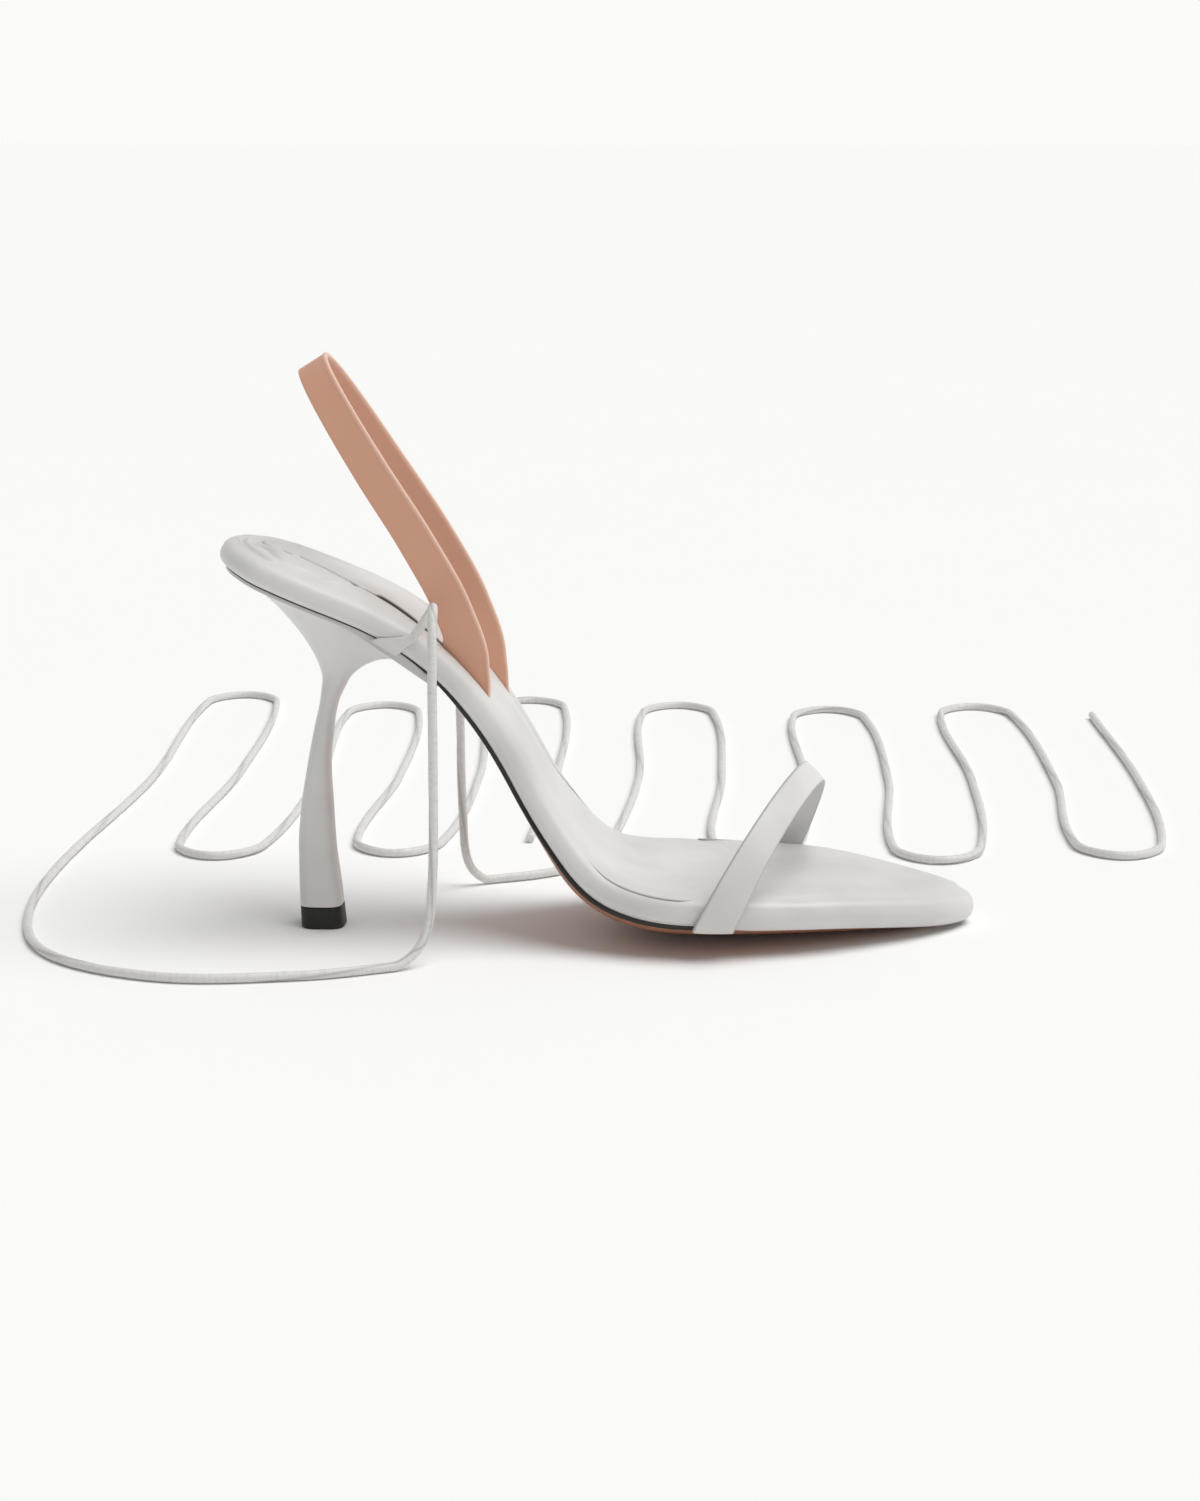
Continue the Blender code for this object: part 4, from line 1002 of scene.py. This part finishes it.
def heel_mesh(last):
    """Heel: the seat sweeps in to the neck on a superellipse, with the stem's sections stacked below.

    The superellipse leans as the stem does at the neck, and it is filled out at the breast.
    """
    angles = np.linspace(0, 2 * np.pi, HEEL_SIDES, endpoint=False)
    outline = seat_outline(last, angles)
    seat = last.bend(lift(outline, -last.seat_drop(outline[:, 0])))
    neck = stem_section(last, NECK_HEIGHT, angles)
    axis = neck.mean(axis=0)
    rings = []
    for share in steps(UNDER_ROWS, 1, 0):
        ring = seat + (axis - seat) * (share + (1 - share) * SEAT_BEVEL)
        ring[:, 2] = seat_height(last, ring[:, 0])
        rings.append(ring)
    lean = (neck - stem_section(last, NECK_HEIGHT - LEAN_STEP, angles))[:, 0] / LEAN_STEP
    exponent = 2 / (FLARE_POWER + BREAST_POWER * np.cos(angles))
    fill = BREAST_FILL * np.maximum(np.cos(angles), 0) ** 2
    for turn in steps(FLARE_ROWS, 0, np.pi / 2):
        inward = np.sin(turn) ** exponent
        ring = seat + (neck - seat) * inward[:, None]
        top = seat_height(last, ring[:, 0]) - HEEL_LIP
        ring[:, 2] = top + (NECK_HEIGHT - top) * (1 - (1 - fill) * np.cos(turn) ** exponent)
        ring[:, 0] += lean * (ring[:, 2] - NECK_HEIGHT) * inward
        rings.append(ring)
    foot = last.sizes.heel_tip_height + GAP
    rings += [stem_section(last, height, angles) for height in steps(STEM_ROWS, NECK_HEIGHT, foot)[1:]]
    rings.append(np.broadcast_to(rings[-1].mean(axis=0), rings[-1].shape))
    return closed_mesh("covered_heel", rings)


def heel_tip_mesh(last):
    """Black top piece: the stem's lowest sections, its edges drawn in by quarter circles."""
    angles = np.linspace(0, 2 * np.pi, HEEL_SIDES, endpoint=False)
    height = last.sizes.heel_tip_height
    turn = steps(ROUND_ROWS, 0, np.pi / 2)
    falling, growing = 1 - np.sin(turn), 1 - np.cos(turn)
    levels = np.concatenate([height - TOP_EDGE * growing, TIP_ROUND * falling])
    drawn = np.concatenate([TOP_EDGE * falling, TIP_ROUND * growing])
    rings = []
    for level, inward in zip(levels, drawn):
        ring = stem_section(last, level, angles)
        centre = ring.mean(axis=0)
        rings.append(ring + (centre - ring) * inward / np.linalg.norm(ring - centre, axis=1, keepdims=True))
    return closed_mesh("rubber_heel_tip", capped(np.stack(rings), "middle"))


def strap_edge(last, edge):
    """One edge of the toe strap: up one side, over the toes on a leaning half ellipse, down the other."""
    out, height, forward = through(STRAP_SIDE, STRAP_SIDE._fields, STRAP_SIDE_ROWS)
    sides = []
    for sign, base in ((-1, edge.outer_along), (1, edge.inner_along)):
        along = base + forward
        across = last.middle(along) + sign * (last.half_width(along) + out)
        sides.append(last.bend(np.column_stack([along, across, height])))
    outer, inner = sides
    turn = steps(STRAP_ROWS, 0, np.pi)[1:-1, None]
    arch = outer[-1] + (inner[-1] - outer[-1]) * (1 - np.cos(turn)) / 2
    arch = arch + edge.rise * np.sin(turn) * np.array([edge.lean, 0, 1])
    return np.concatenate([outer, arch, inner[::-1]])


def sling_mesh(last, name, growth=0.0):
    """The sling's loop: two legs from the slots meet in a bend, a superellipse seen from behind."""
    turn = steps(SLING_ROWS, 0, np.pi)
    share = np.sin(turn)
    back, height, spread, slope, width = (smooth(SLING.share, column, share) for column in SLING[1:])
    inner_leg = np.where(turn > np.pi / 2, (1 - share) ** 2, 0)
    x = last.x[0] + back * MM + SLING_INNER_FORWARD * inner_leg
    z = height * MM - SLING_INNER_DROP * inner_leg
    closing = np.sign(np.cos(turn)) * np.sqrt(np.maximum(1 - share**SLING_POWER, 0))
    centre = np.column_stack([x, SLING_MIDDLE - spread * MM * closing, z])
    slope = np.radians(slope)
    to_front = np.column_stack([np.cos(slope), 0 * slope, -np.sin(slope)]) * width[:, None] * MM / 2
    thickness = np.full(len(turn), last.sizes.sling_thickness)
    return band_mesh(
        name, centre - to_front, centre + to_front, thickness, SLING_ROUND,
        bead_width=SLING_BEAD_WIDTH, bead_rise=SLING_BEAD_RISE, growth=growth,
    )


def tab_mesh(last, name, side):
    """Leather tab: its section narrows and thickens on the way round the footbed's edge into the tie."""
    height, out, width, thickness, forward = through(TIE_TAB, TIE_TAB._fields, TAB_ROWS)
    along = TIE_ALONG + forward
    across = last.middle(along) + side * (last.half_width(along) + out)
    rear = last.bend(np.column_stack([along - width / 2, across, height]))
    front = last.bend(np.column_stack([along + width / 2, across, height]))
    if side > 0:
        rear, front = front, rear
    return band_mesh(name, rear, front, thickness, TAB_ROUND)


def tie_points(plan):
    """Points of a tie's route: its drop, its lay, and for each bend three round the tip and a run."""
    points = [*np.array(TIE_DROP) * (1, plan.side, 1), *plan.lay]
    for x, tip, run in plan.bends:
        y = tip - np.copysign(BEND_DEPTH, tip - BEND_MIDDLE)
        points += [(x - BEND_WIDTH, y, 0), (x, tip, 0), (x + BEND_WIDTH, y, 0), (run, BEND_MIDDLE, 0)]
    return np.array([*points, plan.end])


def smooth_route(points, diameter):
    """Smooth curve through a route's points, in even steps on each stretch, never below the floor."""
    points = points * MM
    stretch = np.diff(points, axis=0)
    length = np.linalg.norm(stretch, axis=1, keepdims=True)
    tangent = unit(np.concatenate([stretch[:1], points[2:] - points[:-2], stretch[-1:]]))
    t = steps(TIE_STEPS + 1)[:-1, None, None]
    bow = tangent[:-1] * t * (1 - t) ** 2 - tangent[1:] * t * t * (1 - t)
    curve = points[:-1] + stretch * t * t * (3 - 2 * t) + bow * length
    curve = np.concatenate([np.moveaxis(curve, 0, 1).reshape(-1, 3), points[-1:]])
    curve[:, 2] = np.maximum(curve[:, 2], diameter / 2 + TIE_CLEAR)
    return curve


def tie_mesh(name, route, diameter):
    """Rolled tie: a circle carried along the route, with a bell-shaped seam that winds slowly round it."""
    tangent = unit(np.gradient(route, axis=0))
    upright = tangent[:, 2:] ** 2
    reference = np.array([0, 0, 1]) * (1 - upright) + np.array([1, 0, 0]) * upright
    sideways = unit(np.cross(tangent, reference))
    upward = np.cross(sideways, tangent)
    angles = np.linspace(0, 2 * np.pi, TIE_SIDES + 1)
    distance = walked(route)
    from_seam = np.mod(angles - 2 * np.pi * distance[:, None] / TIE_TWIST + np.pi, 2 * np.pi) - np.pi
    seam = bell(from_seam, TIE_SEAM_WIDTH)
    radius = (diameter / 2 * (1 - TIE_SEAM_DEPTH * seam))[..., None]
    rings = route[:, None] + radius * (
        np.cos(angles)[:, None] * sideways[:, None] + np.sin(angles)[:, None] * upward[:, None]
    )
    surface = np.stack(np.broadcast_arrays(distance[:, None], angles * diameter / 2), axis=-1)
    marks = {"seam": capped(seam[:, :-1])}
    return closed_mesh(name, capped(rings[:, :-1], "middle"), capped(surface), marks)


def studio_camera(stage):
    """Camera at the viewing angle, its picture as wide as asked at the target."""
    right = np.array([np.cos(stage.azimuth), np.sin(stage.azimuth), 0])
    level = np.array([-np.sin(stage.azimuth), np.cos(stage.azimuth), 0])
    forward = level * np.cos(stage.elevation) - np.array([0, 0, np.sin(stage.elevation)])
    upward = np.cross(right, forward)
    eye = TARGET - forward * stage.distance
    data = bpy.data.cameras.new("studio_camera")
    data.sensor_width = SENSOR
    data.lens = SENSOR * stage.distance / (stage.framed_width * FRAME_HEIGHT / FRAME_WIDTH)
    camera = show("studio_camera", data)
    turned = np.eye(4)
    turned[:3] = np.column_stack([right, upward, -forward, eye])
    camera.matrix_world = Matrix(turned.tolist())
    bpy.context.scene.camera = camera


def studio_light(stage, colours):
    """A wide soft key from above and the toe's side, a dim sky, a backdrop that dims to the front."""
    key = bpy.data.lights.new("soft_key", "SUN")
    key.energy = stage.key_strength
    key.angle = stage.key_softness
    show("soft_key", key).rotation_euler = KEY_TURN
    world = bpy.data.worlds.new("studio")
    world.use_nodes = True
    bpy.context.scene.world = world
    tree = world.node_tree
    heading = add_node(tree, "ShaderNodeTexCoord").outputs["Generated"]
    axes = add_node(tree, "ShaderNodeSeparateXYZ", {"Vector": heading}).outputs
    upward = ramp(tree, axes["Z"], low=0.1, high=0.3, start=stage.horizon_strength, end=stage.sky_strength)
    behind = ramp(tree, axes["Y"], low=0.2, high=0.6, start=stage.front_strength, end=1)
    strength = joined(tree, "MULTIPLY", upward, behind)
    feed(tree, tree.nodes["Background"], {"Color": rgba(colours.backdrop), "Strength": strength})
    bpy.context.scene.view_settings.view_transform = "Standard"


def studio_ground(colours):
    """Flat pale floor, wide enough for any view."""
    mesh = bpy.data.meshes.new("studio_floor")
    corners = np.array([(-1, -1, 0), (1, -1, 0), (1, 1, 0), (-1, 1, 0)]) * FLOOR_REACH
    mesh.from_pydata(corners.tolist(), [], [(0, 1, 2, 3)])
    mesh.materials.append(studio_floor(colours, "pale_studio_floor"))
    show("studio_floor", mesh)


def shared(context):
    """The last and the colours that the scene asks for."""
    return Last(context.scene.sandal_sizes), context.scene.sandal_colours


class SANDAL_OT_stage(bpy.types.Operator):
    """Make the camera, the lights and the floor"""

    bl_idname = "sandal.stage"
    bl_label = "Stage"

    def execute(self, context):
        studio_camera(context.scene.sandal_stage)
        studio_light(context.scene.sandal_stage, context.scene.sandal_colours)
        studio_ground(context.scene.sandal_colours)
        return {"FINISHED"}


class SANDAL_OT_ties(bpy.types.Operator):
    """Make the two ties, laid out loose on the floor, and the tabs that carry them"""

    bl_idname = "sandal.ties"
    bl_label = "Ties and tabs"

    def execute(self, context):
        last, colours = shared(context)
        diameter = last.sizes.tie_diameter
        rolled = rolled_leather(colours, "rolled_white_leather")
        folded = white_leather(colours, "folded_white_leather")
        for where, plan in TIES.items():
            route = smooth_route(tie_points(plan), diameter)
            mesh = tie_mesh("leather_tie", route, diameter)
            tie = place("leather_tie_" + where, mesh, rolled, "tie_" + where)
            tab = tab_mesh(last, "leather_tab", plan.side)
            place("leather_tab_" + where, tab, folded, "tie_tab_" + where)
        return {"FINISHED"}


class SANDAL_OT_footbed(bpy.types.Operator):
    """Make the padded footbed and the sock set into it, with slots for the sling"""

    bl_idname = "sandal.footbed"
    bl_label = "Footbed and sock"

    def execute(self, context):
        last, colours = shared(context)
        # Footbed and sock take the painted groove shade as their darker colour
        padded = white_leather(colours, "padded_white_leather", colours.painted_groove_shade)
        lining = white_leather(colours, "white_sock_leather", colours.painted_groove_shade)
        footbed = place("padded_footbed", footbed_mesh(last), padded, "footbed")
        sock = place("leather_sock", sock_mesh(last), lining, "insole_sock")
        cutter = show("sling_slot", sling_mesh(last, "sling_slot", GAP))
        cut_slot(footbed, cutter)
        cut_slot(sock, cutter)
        bpy.data.objects.remove(cutter)
        return {"FINISHED"}


class SANDAL_OT_outsole(bpy.types.Operator):
    """Make the thin outsole with its painted edge"""

    bl_idname = "sandal.outsole"
    bl_label = "Outsole"

    def execute(self, context):
        last, colours = shared(context)
        material = sole_leather(colours, "tan_sole_leather_painted_edge")
        place("leather_outsole", outsole_mesh(last), material, "outsole")
        return {"FINISHED"}


class SANDAL_OT_heel(bpy.types.Operator):
    """Make the leather-covered heel and its rubber tip"""

    bl_idname = "sandal.heel"
    bl_label = "Heel and tip"

    def execute(self, context):
        last, colours = shared(context)
        covering = white_leather(colours, "stretched_white_leather")
        rubber = moulded_rubber(colours, "moulded_black_rubber")
        place("covered_heel", heel_mesh(last), covering, "heel")
        place("rubber_heel_tip", heel_tip_mesh(last), rubber, "heel_tip")
        return {"FINISHED"}


class SANDAL_OT_toe_strap(bpy.types.Operator):
    """Make the toe strap"""

    bl_idname = "sandal.toe_strap"
    bl_label = "Toe strap"

    def execute(self, context):
        last, colours = shared(context)
        rear, front = strap_edge(last, STRAP_REAR), strap_edge(last, STRAP_FRONT)
        thickness = np.full(len(rear), last.sizes.strap_thickness)
        mesh = band_mesh("leather_toe_strap", rear, front, thickness, STRAP_ROUND, crown=STRAP_CROWN)
        # The strap's edges take the greyer edge colour, partly as painted shade along them
        material = white_leather(colours, "white_strap_leather", colours.leather_edge_and_shade)
        place("leather_toe_strap", mesh, material, "toe_strap")
        return {"FINISHED"}


class SANDAL_OT_sling(bpy.types.Operator):
    """Make the elastic heel sling"""

    bl_idname = "sandal.sling"
    bl_label = "Heel sling"

    def execute(self, context):
        last, colours = shared(context)
        material = ribbed_elastic(colours, "ribbed_blush_elastic")
        place("elastic_sling", sling_mesh(last, "elastic_sling"), material, "heel_sling")
        return {"FINISHED"}


class SANDAL_PT_pieces(bpy.types.Panel):
    """The sandal's pieces, sizes and colours"""

    bl_idname = "SANDAL_PT_pieces"
    bl_label = "Ankle-tie sandal"
    bl_space_type = "VIEW_3D"
    bl_region_type = "UI"
    bl_category = "Sandal"

    def draw(self, context):
        for operator in OPERATORS:
            self.layout.operator(operator.bl_idname)
        for group in (context.scene.sandal_sizes, context.scene.sandal_colours, context.scene.sandal_stage):
            box = self.layout.box()
            for name in group.__annotations__:
                box.prop(group, name)


OPERATORS = (
    SANDAL_OT_stage,
    SANDAL_OT_ties,
    SANDAL_OT_footbed,
    SANDAL_OT_outsole,
    SANDAL_OT_heel,
    SANDAL_OT_toe_strap,
    SANDAL_OT_sling,
)
CLASSES = (SandalSizes, SandalColours, SandalStage, *OPERATORS, SANDAL_PT_pieces)


def register():
    """Register the classes and give the scene its sizes, colours and stage."""
    for item in CLASSES:
        bpy.utils.register_class(item)
    bpy.types.Scene.sandal_sizes = PointerProperty(type=SandalSizes)
    bpy.types.Scene.sandal_colours = PointerProperty(type=SandalColours)
    bpy.types.Scene.sandal_stage = PointerProperty(type=SandalStage)


def unregister():
    """Take the scene's sizes, colours and stage away and unregister the classes."""
    del bpy.types.Scene.sandal_sizes
    del bpy.types.Scene.sandal_colours
    del bpy.types.Scene.sandal_stage
    for item in reversed(CLASSES):
        bpy.utils.unregister_class(item)


def main():
    """Make every piece in order."""
    register()
    bpy.ops.sandal.stage()
    bpy.ops.sandal.ties()
    bpy.ops.sandal.footbed()
    bpy.ops.sandal.outsole()
    bpy.ops.sandal.heel()
    bpy.ops.sandal.toe_strap()
    bpy.ops.sandal.sling()


if __name__ == "__main__":
    main()
